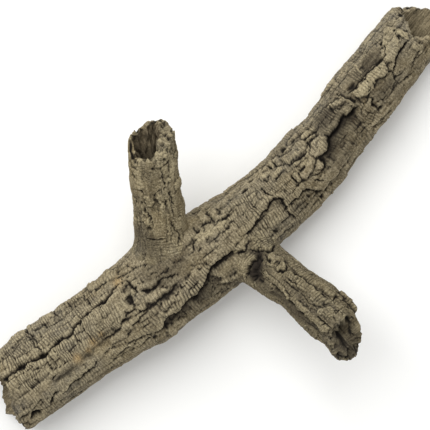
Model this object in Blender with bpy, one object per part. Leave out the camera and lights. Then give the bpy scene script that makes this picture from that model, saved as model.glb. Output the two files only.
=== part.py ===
"""A cork branch: the hollow bark of a cork oak limb with two broken side branches.

The limb lies along X on the floor at z = 0, its thick end at -X, and the side
branches rise on either side of it. Places are in millimetres and become metres
where a mesh is made. Round a limb, angles are in degrees from its upper side,
positive towards its left as one walks out along it.
"""

import bmesh
import bpy
import numpy as np
from mathutils import Vector, noise

MM = 0.001

# Middle of each limb: x, y, z and the radius of the bark there.
MAIN_STATIONS = (
    (-302, 33.0, 42.5, 41.0),
    (-240, 29.0, 41.5, 43.0),
    (-180, 24.0, 42.5, 43.5),
    (-130, 19.5, 47.5, 47.0),
    (-90, 16.0, 48.5, 47.5),
    (-45, 13.5, 45.5, 45.5),
    (0, 12.0, 38.5, 40.0),
    (60, 10.5, 33.2, 37.5),
    (110, 16.0, 35.5, 36.5),
    (140, 23.5, 36.0, 34.5),
    (180, 34.0, 36.0, 35.0),
    (235, 45.5, 29.3, 33.5),
    (299, 59.0, 29.0, 29.5),
)
UPPER_STATIONS = (
    (-91, 17, 44, 30),
    (-65, 53, 70, 28),
    (-39, 90, 96, 26),
    (-7, 135, 128, 22.5),
    (2, 148, 137, 21.5),
)
LOWER_STATIONS = (
    (-13, 13, 39, 28),
    (-5.5, -28, 60, 26.5),
    (2, -58, 77, 25),
    (6.5, -82, 90, 26),
    (9.5, -105, 101, 25.5),
    (9.5, -150, 122, 18.5),
    (9, -159, 126.5, 17.5),
)

# Where each limb breaks off, round its rim: angle, and x on the main limb or
# the distance from the root on a side branch.
BASE_RIM = (
    (-180, -293), (-155, -299), (-137, -296), (-121, -295), (-104, -291), (-90, -287),
    (-60, -289), (-40, -288), (-25, -283), (-12, -278), (15, -272), (40, -272), (60, -277),
    (90, -281), (130, -284), (165, -286), (180, -293),
)
TIP_RIM = (
    (-180, 291), (-120, 286), (-90, 274), (-45, 263), (-20, 260), (10, 257),
    (40, 254), (70, 258), (90, 265), (110, 271), (130, 277), (150, 284), (180, 291),
)
UPPER_RIM = (
    (-180, 167), (-150, 173), (-120, 176), (-90, 176), (-60, 171), (-30, 164), (-12, 153),
    (0, 149), (30, 149), (60, 151), (80, 156), (100, 162), (125, 169), (150, 170),
    (165, 165), (180, 167),
)
LOWER_RIM = (
    (-180, 182), (-160, 184), (-130, 182), (-90, 178), (-50, 168), (-20, 161), (20, 159),
    (50, 158), (75, 162), (100, 171), (130, 174), (160, 177), (180, 182),
)

MAIN_WALL = 12.0
UPPER_WALL = 8.0
LOWER_WALL = 7.0
UPPER_HOLLOW_DEPTH = 42.0
LOWER_HOLLOW_DEPTH = 11.0
HOLLOW_TAPER = 0.45

# Mesh fineness, sized so that the whole branch stays under 10 000 triangles.
MAIN_AROUND, MAIN_ALONG, BORE_ALONG = 40, 76, 11
SIDE_AROUND, SIDE_ALONG = 24, 18
SIDE_HOLLOW_ROWS = (0.0, 0.35, 0.7, 1.0)
LINE_POINTS = 500
SEARCH_ALONG, SEARCH_AROUND, SEARCH_ANGLE = 700, 201, 100

# A side branch starts this far along its line, inside the main limb, and the gap
# to the main limb is left free. Each broken edge slants in by the slant.
BURIED_START = 12.0
GAP = 0.4
EDGE_SLANT = 2.0

# Large forms of the bark.
SWELL, SWELL_SCALE = 2.2, (70.0, 34.0)
PLATE_SCALE = (84.0, 30.0)
PLATE_GROOVE, PLATE_STEP = 3.2, 1.1
GROOVE_SHARE = 0.22
PLATE_SHUFFLE = 7.0
HAND_PLACED_SIDE = 0.35
PLATES_THERE = 0.3
COARSEST_CRACK = 9.0
STEP_REACH = 2.5
DEEPEST = 9.0
SAME_PLACE = 1e-7

# The middle of the branch's footprint, which becomes the origin.
FOOTPRINT_MIDDLE = (-4.5, -2.0, 0.0)

# The branch is read from straight above, from this height over this point. Where two
# sides of a limb are seen as near as each other, the higher one counts.
EYE = (-9.6, 36.8, 2040.0)
READING_HEIGHT = 40.0
HIGHER_SIDE = 1e-4

# Splits and ledges of the bark, as routes seen from above. The bark to the right
# of a route, as one follows it, is lower by the drop, which fades out over the fade.
# Each is: width, depth, drop, fade, route.
MAIN_CRACKS = (
    # the long split that opens at the thick end
    (6.0, 8.0, 0.0, 12.0, ((-284, 48), (-262, 46), (-240, 42.5), (-228, 39.5), (-200, 40))),
    (4.0, 4.0, 0.0, 12.0, ((-200, 40), (-178, 43), (-162, 45), (-145, 43), (-124, 47.5))),
    # the shallow trough below it
    (13.0, 2.6, 0.0, 14.0, ((-262, 11), (-225, 10), (-185, 11), (-158, 9))),
    (4.0, 4.0, 0.0, 10.0, ((-172, 10), (-156, 9), (-146, 16), (-133, 16), (-127, 24), (-129, 31))),
    # the fold under the upper fork
    (5.0, 5.5, 1.5, 12.0, ((-120, 46), (-118, 30), (-106, 21), (-92, 23), (-82, 18), (-75, 12.5))),
    (7.0, 3.5, 0.0, 12.0, ((-128, 6), (-110, 7.5), (-90, 7))),
    # the ledge along the lower side, from the thick end to past the lower fork
    (4.0, 4.0, 2.0, 9.0, ((-241, -3), (-198, -3.5))),
    (
        5.0, 5.0, 5.0, 17.0,
        ((-152, -16.5), (-128, -18), (-110, -12), (-96, -15.5), (-82, -11), (-74, -14.5),
         (-53, -5.5), (-38, -2.5), (-22, -4), (-10, -8)),
    ),
    (4.0, 4.0, 2.5, 14.0, ((-10, -8), (1, -3), (8, 1.5), (25, 7), (45, 11), (51, 3), (50, -18))),
    (4.5, 4.0, 0.0, 10.0, ((-9, -8), (-1, -20), (2, -28))),
    # plates of the outer half
    (4.0, 3.5, 0.0, 10.0, ((43, 29), (46, 16), (49, 8))),
    (4.0, 4.5, 1.5, 10.0, ((52, -7), (72, -3), (82, -10), (88, -18), (108, -15), (120, -12))),
    (4.0, 4.0, 0.0, 10.0, ((73, 28), (73, 13), (75, -4))),
    (4.0, 4.5, 0.0, 10.0, ((73, 27), (100, 27), (113, 33))),
    (4.0, 4.5, 0.0, 10.0, ((79, 6), (82, 15), (93, 16))),
    (4.5, 4.5, 1.5, 10.0, ((88, 1), (104, 1), (109, 9), (112, 14))),
    # the high ridge and the smooth hollow beside it
    (
        5.0, 4.5, 5.0, 26.0,
        ((112, 14), (121, 16), (128, 27), (147, 29), (158, 28), (172, 27)),
    ),
    (6.0, 5.0, 0.0, 12.0, ((163, 55), (167, 43), (172, 30))),
    (6.0, 5.0, -2.0, 14.0, ((172, 40), (181, 44), (200, 49), (222, 49))),
    (4.0, 4.5, 1.0, 12.0, ((219, 27), (229, 38), (240, 44), (251, 45.5))),
    (4.0, 3.5, 0.0, 10.0, ((183, 10), (184, 28))),
    (4.0, 4.0, 1.0, 10.0, ((203, 16), (219, 24.5), (231, 25))),
    (5.0, 3.0, 0.0, 10.0, ((-24, 38), (-14, 37.5), (-14, 31), (2, 30))),
)
UPPER_CRACKS = (
    (13.0, 2.0, 0.0, 10.0, ((-50, 68), (-46, 85), (-38, 104), (-34, 119))),
    (5.0, 3.0, 0.0, 10.0, ((-68, 70), (-62, 80), (-58, 94), (-50, 108))),
    (5.0, 3.0, 0.0, 10.0, ((-44, 74), (-38, 91), (-26, 98), (-22, 112))),
    (4.0, 3.0, 0.0, 8.0, ((-34, 68), (-31, 79), (-26, 81))),
)
LOWER_CRACKS = (
    (4.5, 4.5, -2.0, 10.0, ((12, -50), (17, -65), (21, -90), (22, -101), (33, -104))),
    (4.5, 4.0, 0.0, 8.0, ((0, -42), (9, -50), (18, -41))),
    (6.0, 4.5, 2.0, 12.0, ((-12, -58), (-9, -90), (-6, -108), (-3, -114))),
)

# Lumps that stand out, and pits: place seen from above, reach along and round, height.
MAIN_LUMPS = (
    (-126, 12.5, 4.5, 4.5, 4.5),
    (-274, -1, 8.0, 5.5, -6.0),
    (-116, -26, 10.0, 9.0, 5.0),
    (-145, 60, 20.0, 14.0, 3.0),
    (-33, -28, 9.0, 9.0, 5.0),
    (86, -20, 7.0, 9.0, 3.0),
    (203, 66, 14.0, 12.0, -2.5),
    (77, 12, 4.0, 5.0, 4.0),
    (88, 46, 6.0, 6.0, 4.0),
    (116, 23, 12.0, 8.0, 3.0),
    (92, 33, 15.0, 5.0, 3.0),
    (180, -1, 13.0, 6.0, 4.0),
    (152, 60, 14.0, 9.0, 2.5),
    (190, 39, 20.0, 7.0, 2.5),
    (235, 72, 16.0, 10.0, 3.5),
)
UPPER_LUMPS = ((-15, 82, 9.0, 8.0, 4.0), (-6, 122, 14.0, 12.0, 1.5))
LOWER_LUMPS = ((8, -43, 6.0, 7.0, 3.5), (34, -114, 15.0, 11.0, 5.0))


class Limb:
    """A bent round limb: its middle line, and the frame that goes round it."""

    def __init__(self, stations, cracks, lumps):
        self.line = self.through(np.array(stations, float), LINE_POINTS)
        steps = np.linalg.norm(np.diff(self.line[:, :3], axis=0), axis=1)
        self.along = np.concatenate([[0.0], np.cumsum(steps)])
        run = np.gradient(self.line[:, :3], axis=0)
        self.run = run / np.linalg.norm(run, axis=1)[:, None]
        left = np.cross([0.0, 0.0, 1.0], self.run)
        self.left = left / np.linalg.norm(left, axis=1)[:, None]
        self.up = np.cross(self.run, self.left)
        self.cracks = [(*crack[:4], self.placed(crack[4])) for crack in cracks]
        self.lumps = [(self.placed([lump[:2]])[0], *lump[2:]) for lump in lumps]

    @staticmethod
    def through(stations, count):
        """Points on a smooth curve through the stations (Catmull-Rom)."""
        ends = 2 * stations[0] - stations[1], 2 * stations[-1] - stations[-2]
        points = np.vstack([ends[0], stations, ends[1]])
        spot = np.linspace(0, len(stations) - 1, count)
        first = np.minimum(spot.astype(int), len(stations) - 2)
        t = (spot - first)[:, None]
        a, b, c, d = (points[first + k] for k in range(4))
        return 0.5 * (
            2 * b + (c - a) * t + (2 * a - 5 * b + 4 * c - d) * t**2 + (3 * b - a - 3 * c + d) * t**3
        )

    def at(self, rows, where):
        """Values of a row table at distances along the limb."""
        return np.stack([np.interp(where, self.along, column) for column in rows.T], axis=-1)

    def radius(self, where):
        return np.interp(where, self.along, self.line[:, 3])

    def point(self, where, angle, radial):
        """Points at a distance along, an angle round and a distance out from the middle."""
        out = np.cos(angle)[..., None] * self.at(self.up, where)
        out = out + np.sin(angle)[..., None] * self.at(self.left, where)
        return self.at(self.line[:, :3], where) + radial[..., None] * out

    def placed(self, seen):
        """Routes seen from above, as distance along the limb and distance round it."""
        where, angle = np.meshgrid(
            np.linspace(0, self.along[-1], SEARCH_ALONG),
            np.radians(np.linspace(-SEARCH_ANGLE, SEARCH_ANGLE, SEARCH_AROUND)),
        )
        skin = self.point(where, angle, self.radius(where))
        eye = np.array(EYE)
        reach = (eye[2] - READING_HEIGHT) / (eye[2] - skin[..., 2])
        shown = eye[:2] + (skin[..., :2] - eye[:2]) * reach[..., None]
        found = []
        for place in seen:
            nearest = np.argmin(((shown - place) ** 2).sum(axis=-1) - HIGHER_SIDE * skin[..., 2])
            found.append((where.flat[nearest], angle.flat[nearest] * self.radius(where.flat[nearest])))
        return np.array(found)


def route_distance(route, where, across):
    """Distance of each point to a route, and whether it lies to the route's right."""
    nearest = np.full(where.shape, np.inf)
    right = np.zeros(where.shape, bool)
    for start, end in zip(route[:-1], route[1:]):
        step = end - start
        share = ((where - start[0]) * step[0] + (across - start[1]) * step[1]) / (step @ step)
        share = np.clip(share, 0, 1)
        off = where - start[0] - share * step[0], across - start[1] - share * step[1]
        distance = np.hypot(*off)
        closer = distance < nearest
        nearest[closer] = distance[closer]
        side = step[0] * off[1] - step[1] * off[0] < 0
        right[closer] = side[closer]
    return nearest, right


def straightened(limb, where, angle, along, around):
    """Places on the limb as if it were straight, for patterns that follow the grain."""
    radius = limb.radius(where)
    flat = np.stack(
        [where / along, radius * np.cos(angle) / around, radius * np.sin(angle) / around], axis=-1
    )
    return [Vector(place) for place in flat.reshape(-1, 3)]


def relief(limb, where, angle):
    """How far the bark stands out from the limb's plain round form, in millimetres."""
    shape = where.shape
    swell = [noise.fractal(p, 1.0, 2.0, 2) for p in straightened(limb, where, angle, *SWELL_SCALE)]
    height = SWELL * np.array(swell).reshape(shape)

    cells = [noise.voronoi(p) for p in straightened(limb, where, angle, *PLATE_SCALE)]
    gap = np.array([near[1] - near[0] for near, _ in cells]).reshape(shape)
    level = np.array([noise.cell(middle[0] * PLATE_SHUFFLE) for _, middle in cells]).reshape(shape)
    groove = PLATE_GROOVE * np.clip(1 - gap / GROOVE_SHARE, 0, 1)
    hidden = np.clip(HAND_PLACED_SIDE - np.cos(angle), PLATES_THERE, 1)
    height += hidden * (2 * PLATE_STEP * (level - 0.5) - groove)

    across = angle * limb.radius(where)
    for width, depth, drop, fade, route in limb.cracks:
        distance, right = route_distance(route, where, across)
        half = max(width, COARSEST_CRACK) / 2
        height -= depth * np.exp(-((distance / half) ** 2))
        low_side = np.where(right == (drop > 0), distance, -distance)
        step = np.clip(0.5 + low_side / (2 * STEP_REACH), 0, 1)
        height -= abs(drop) * step * np.exp(-np.maximum(low_side, 0) / fade)
    for (middle, round_at), reach_along, reach_round, tall in limb.lumps:
        off = ((where - middle) / reach_along) ** 2 + ((across - round_at) / reach_round) ** 2
        height += tall * np.exp(-off)
    return np.maximum(height, -DEEPEST)


def rim(knots, angle):
    """Where a limb breaks off at each angle round it."""
    return np.interp(np.degrees(angle), *zip(*knots))


def wrapped(name, rows, collection):
    """A closed skin: a flat grid whose rows become the given rings, with its seams merged."""
    along, around = rows.shape[0] - 1, rows.shape[1] - 1
    bm = bmesh.new()
    bmesh.ops.create_grid(bm, x_segments=around, y_segments=along, size=0.5)
    bm.verts.ensure_lookup_table()
    for vertex, place in zip(bm.verts, rows.reshape(-1, 3) - FOOTPRINT_MIDDLE):
        vertex.co = place * MM
    bmesh.ops.remove_doubles(bm, verts=bm.verts, dist=SAME_PLACE)
    bmesh.ops.triangulate(bm, faces=bm.faces, quad_method="FIXED")
    bmesh.ops.recalc_face_normals(bm, faces=bm.faces)
    mesh = bpy.data.meshes.new(name)
    bm.to_mesh(mesh)
    bm.free()
    obj = bpy.data.objects.new(name, mesh)
    collection.objects.link(obj)
    return obj


def turn(count):
    """Angles once round a limb, from underneath to underneath."""
    return np.radians(np.linspace(-180, 180, count + 1))


def closed_ring(row):
    """The same ring with its last point on its first."""
    row[-1] = row[0]
    return row


def main_skin(name, collection, grown=0.0, hollow=True):
    """The main limb. Grown and without its hollow, it is the cutter for the side branches."""
    limb = Limb(MAIN_STATIONS, MAIN_CRACKS, MAIN_LUMPS)
    angle = turn(MAIN_AROUND)
    start = np.interp(rim(BASE_RIM, angle), limb.line[:, 0], limb.along)
    end = np.interp(rim(TIP_RIM, angle), limb.line[:, 0], limb.along)
    rings = []
    for share in np.linspace(0, 1, MAIN_ALONG + 1):
        where = start + (end - start) * share
        ring = limb.point(where, angle, limb.radius(where) + relief(limb, where, angle) + grown)
        ring[:, 2] = np.maximum(ring[:, 2], 0)
        rings.append(closed_ring(ring))
    if hollow:
        middle_of_wall = limb.radius(end) - MAIN_WALL / 2
        rings.append(closed_ring(limb.point(end - EDGE_SLANT / 2, angle, middle_of_wall)))
        for share in np.linspace(1, 0, BORE_ALONG + 1):
            where = start + EDGE_SLANT + (end - start - 2 * EDGE_SLANT) * share
            rings.append(closed_ring(limb.point(where, angle, limb.radius(where) - MAIN_WALL)))
        middle_of_wall = limb.radius(start) - MAIN_WALL / 2
        rings.append(closed_ring(limb.point(start + EDGE_SLANT / 2, angle, middle_of_wall)))
        rings.append(rings[0])
    else:
        rings.insert(0, np.broadcast_to(rings[0].mean(axis=0), rings[0].shape))
        rings.append(np.broadcast_to(rings[-1].mean(axis=0), rings[0].shape))
    return wrapped(name, np.array(rings), collection)


def side_skin(name, collection, stations, cracks, lumps, knots, wall, depth):
    """A side branch from inside the main limb to its broken, hollow end."""
    limb = Limb(stations, cracks, lumps)
    angle = turn(SIDE_AROUND)
    end = rim(knots, angle)
    rings = [limb.point(np.full(angle.shape, BURIED_START), angle, np.zeros(angle.shape))]
    for share in np.linspace(0, 1, SIDE_ALONG + 1):
        where = BURIED_START + (end - BURIED_START) * share
        radial = limb.radius(where) + relief(limb, where, angle)
        rings.append(closed_ring(limb.point(where, angle, radial)))
    hollow_radius = limb.radius(end) - wall
    middle_of_wall = limb.radius(end) - wall / 2
    rings.append(closed_ring(limb.point(end - EDGE_SLANT / 2, angle, middle_of_wall)))
    floor = end.min() - depth
    for share in SIDE_HOLLOW_ROWS:
        where = end - EDGE_SLANT + (floor - end + EDGE_SLANT) * share
        rings.append(closed_ring(limb.point(where, angle, hollow_radius * (1 - HOLLOW_TAPER * share))))
    rings.append(limb.point(np.full(angle.shape, floor - EDGE_SLANT), angle, np.zeros(angle.shape)))
    return wrapped(name, np.array(rings), collection)


def bark_material(name, colour, roughness):
    """Weathered cork, dry and dull."""
    material = bpy.data.materials.new(name)
    material.use_nodes = True
    shader = material.node_tree.nodes["Principled BSDF"]
    shader.inputs["Base Color"].default_value = (*colour, 1)
    shader.inputs["Roughness"].default_value = roughness
    shader.inputs["Metallic"].default_value = 0
    return material


def main():
    for obj in list(bpy.data.objects):
        bpy.data.objects.remove(obj)
    branch = bpy.data.collections.new("cork_branch")
    cutters = bpy.data.collections.new("cutters")
    for collection in (branch, cutters):
        bpy.context.scene.collection.children.link(collection)

    main_limb = main_skin("main_limb", branch)
    upper = side_skin(
        "upper_side_branch", branch, UPPER_STATIONS, UPPER_CRACKS, UPPER_LUMPS,
        UPPER_RIM, UPPER_WALL, UPPER_HOLLOW_DEPTH,
    )
    lower = side_skin(
        "lower_side_branch", branch, LOWER_STATIONS, LOWER_CRACKS, LOWER_LUMPS,
        LOWER_RIM, LOWER_WALL, LOWER_HOLLOW_DEPTH,
    )
    main_limb.data.materials.append(bark_material("main bark", (0.150, 0.128, 0.086), 0.95))
    upper.data.materials.append(bark_material("upper bark", (0.162, 0.138, 0.092), 0.95))
    lower.data.materials.append(bark_material("lower bark", (0.118, 0.098, 0.068), 0.96))

    # Each side branch ends where it meets the main limb.
    grown_limb = main_skin("main_limb_grown", cutters, grown=GAP, hollow=False)
    grown_limb.hide_render = True
    grown_limb.display_type = "WIRE"
    for side in (upper, lower):
        cut = side.modifiers.new("fork", "BOOLEAN")
        cut.operation = "DIFFERENCE"
        cut.object = grown_limb


main()
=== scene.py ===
"""The looks of the cork branch: its bark, its broken ends, and the pale floor it lies on.

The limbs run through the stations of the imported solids, in millimetres, and the main splits
and ledges lie where theirs do. The finer splits, lobes, ribs and grain of cork oak bark are
added, and the broken ends are more ragged. Places on a limb are given as seen from straight
above; each limb turns them into a distance along it and a distance round it.
"""

import math
from functools import partial

import bmesh
import bpy
import numpy as np
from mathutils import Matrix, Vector, noise


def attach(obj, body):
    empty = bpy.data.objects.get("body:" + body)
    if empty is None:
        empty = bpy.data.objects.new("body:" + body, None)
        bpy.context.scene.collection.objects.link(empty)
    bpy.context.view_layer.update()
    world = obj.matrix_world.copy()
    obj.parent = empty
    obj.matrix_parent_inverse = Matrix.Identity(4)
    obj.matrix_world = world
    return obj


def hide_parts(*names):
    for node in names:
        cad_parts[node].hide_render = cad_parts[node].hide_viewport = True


# The wander of edges and knobs depends on it; unset, it would differ each run.
NOISE_SEED = 1

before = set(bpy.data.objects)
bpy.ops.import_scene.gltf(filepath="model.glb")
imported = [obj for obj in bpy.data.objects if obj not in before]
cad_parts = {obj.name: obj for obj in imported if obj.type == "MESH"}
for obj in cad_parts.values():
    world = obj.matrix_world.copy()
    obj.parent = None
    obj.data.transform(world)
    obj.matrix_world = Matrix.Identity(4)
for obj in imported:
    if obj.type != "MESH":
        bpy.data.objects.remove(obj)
noise.seed_set(NOISE_SEED)
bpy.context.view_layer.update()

MM = 0.001

# The middle of the branch's footprint, which is the frame's origin.
FOOTPRINT_MIDDLE = (-4.5, -2.0, 0.0)

# The photograph looks straight down, turned so that this heading points up in it.
EYE = (-9.6, 36.8, 2040.0)
READING_HEIGHT = 40.0
HEADING = 40.0
PHOTO_WIDTH = 430.0
SENSOR = 36.0
FAR_CLIP = 20.0

# The stage, in metres and watts. The lamp stands to the left of the photograph's top by its turn.
FLOOR_REACH, FLOOR_COLOUR, FLOOR_ROUGHNESS = 4.0, "#f4f4f2", 0.9
ROOM_BRIGHTNESS = 0.73
LAMP_SIZE, LAMP_WATTS, LAMP_HEIGHT, LAMP_AWAY, LAMP_TURN = 1.7, 32, 1.6, 1.0, 35.0

# Middle of each limb: x, y, z and the radius of the bark there.
MAIN_STATIONS = (
    (-302, 33.0, 42.5, 41.0),
    (-240, 29.0, 41.5, 43.0),
    (-180, 24.0, 42.5, 43.5),
    (-130, 19.5, 47.5, 47.0),
    (-90, 16.0, 48.5, 47.5),
    (-45, 13.5, 45.5, 45.5),
    (0, 12.0, 38.5, 40.0),
    (60, 10.5, 33.2, 37.5),
    (110, 16.0, 35.5, 36.5),
    (140, 23.5, 36.0, 34.5),
    (180, 34.0, 36.0, 35.0),
    (235, 45.5, 29.3, 33.5),
    (299, 59.0, 29.0, 29.5),
)
UPPER_STATIONS = (
    (-91, 17, 44, 30),
    (-65, 53, 70, 28),
    (-39, 90, 96, 26),
    (-7, 135, 128, 22.5),
    (2, 148, 137, 21.5),
)
LOWER_STATIONS = (
    (-13, 13, 39, 28),
    (-5.5, -28, 60, 26.5),
    (2, -58, 77, 25),
    (6.5, -82, 90, 26),
    (9.5, -105, 101, 25.5),
    (9.5, -150, 122, 18.5),
    (9, -159, 126.5, 17.5),
)

# Where each limb breaks off, round its rim: angle, and x on the main limb or
# the distance from the root on a side branch.
BASE_RIM = (
    (-180, -293), (-155, -296), (-137, -292), (-121, -290), (-104, -287), (-90, -284),
    (-60, -286), (-40, -286), (-25, -283), (-12, -279), (15, -274), (40, -274), (60, -278),
    (90, -281), (130, -284), (165, -286), (180, -293),
)
TIP_RIM = (
    (-180, 291), (-120, 286), (-90, 274), (-45, 263), (-20, 255), (-8, 252), (10, 255),
    (22, 258), (43, 265), (70, 267), (90, 267), (110, 271), (130, 276), (150, 283), (180, 291),
)
UPPER_RIM = (
    (-180, 172), (-168, 173), (-150, 174), (-130, 173), (-118, 170), (-105, 167), (-90, 168),
    (-60, 167), (-30, 162), (-12, 153), (0, 149), (30, 148), (60, 150), (74, 156), (88, 166),
    (112, 167), (128, 164), (144, 165), (156, 169), (168, 172), (180, 172),
)
LOWER_RIM = (
    (-180, 182), (-160, 184), (-130, 182), (-90, 178), (-50, 168), (-20, 161), (20, 159),
    (50, 158), (75, 162), (100, 171), (130, 174), (160, 177), (180, 182),
)

MAIN_WALL = 12.0
# The upper branch's hollow: wall, depth, how far it lies to the left of the middle, and lumps.
UPPER_HOLLOW = (9.5, 42.0, 4.5, 7.0)
HOLLOW_TAPER = 0.45
# How far back the middle of the lower branch's closed end lies.
LOWER_DISH = 1.0
# A side branch starts this far inside the main limb's skin.
ROOT_DEPTH = 6.0
# How far the rims wander, and how much darker the broken faces at the base and at the lower branch's end
# are.
MAIN_RAGGED, SIDE_RAGGED = 1.5, 2.0
BASE_FACE_TONE, LOWER_FACE_TONE = -0.3, -0.5

# Mesh fineness: each piece stays under 200 000 triangles, finest on its upper side.
MAIN_AROUND, MAIN_ALONG = 168, 540
SIDE_AROUND, SIDE_ALONG = 168, 190
UPPER_SIDE_FINENESS = 0.22
BREAK_ROWS = 7
INSIDE_ROWS = 30
SAME_PLACE = 1e-7

# Large forms, as in the solids.
SWELL, SWELL_SCALE = 2.2, (70.0, 34.0)
PLATE_SCALE = (84.0, 30.0)
PLATE_GROOVE, PLATE_STEP = 3.2, 1.1
GROOVE_SHARE = 0.22
HAND_PLACED_SIDE = 0.35
PLATES_THERE = 0.3
DEEPEST = 10.0
# Reach of the fillet at the upper fork, and of the sharper one at the lower fork.
FILLET, CREASE = 15.0, 6.0
# The fine relief stands a little proud on the whole, so all of it is lowered.
TRIM = 0.4

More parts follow.
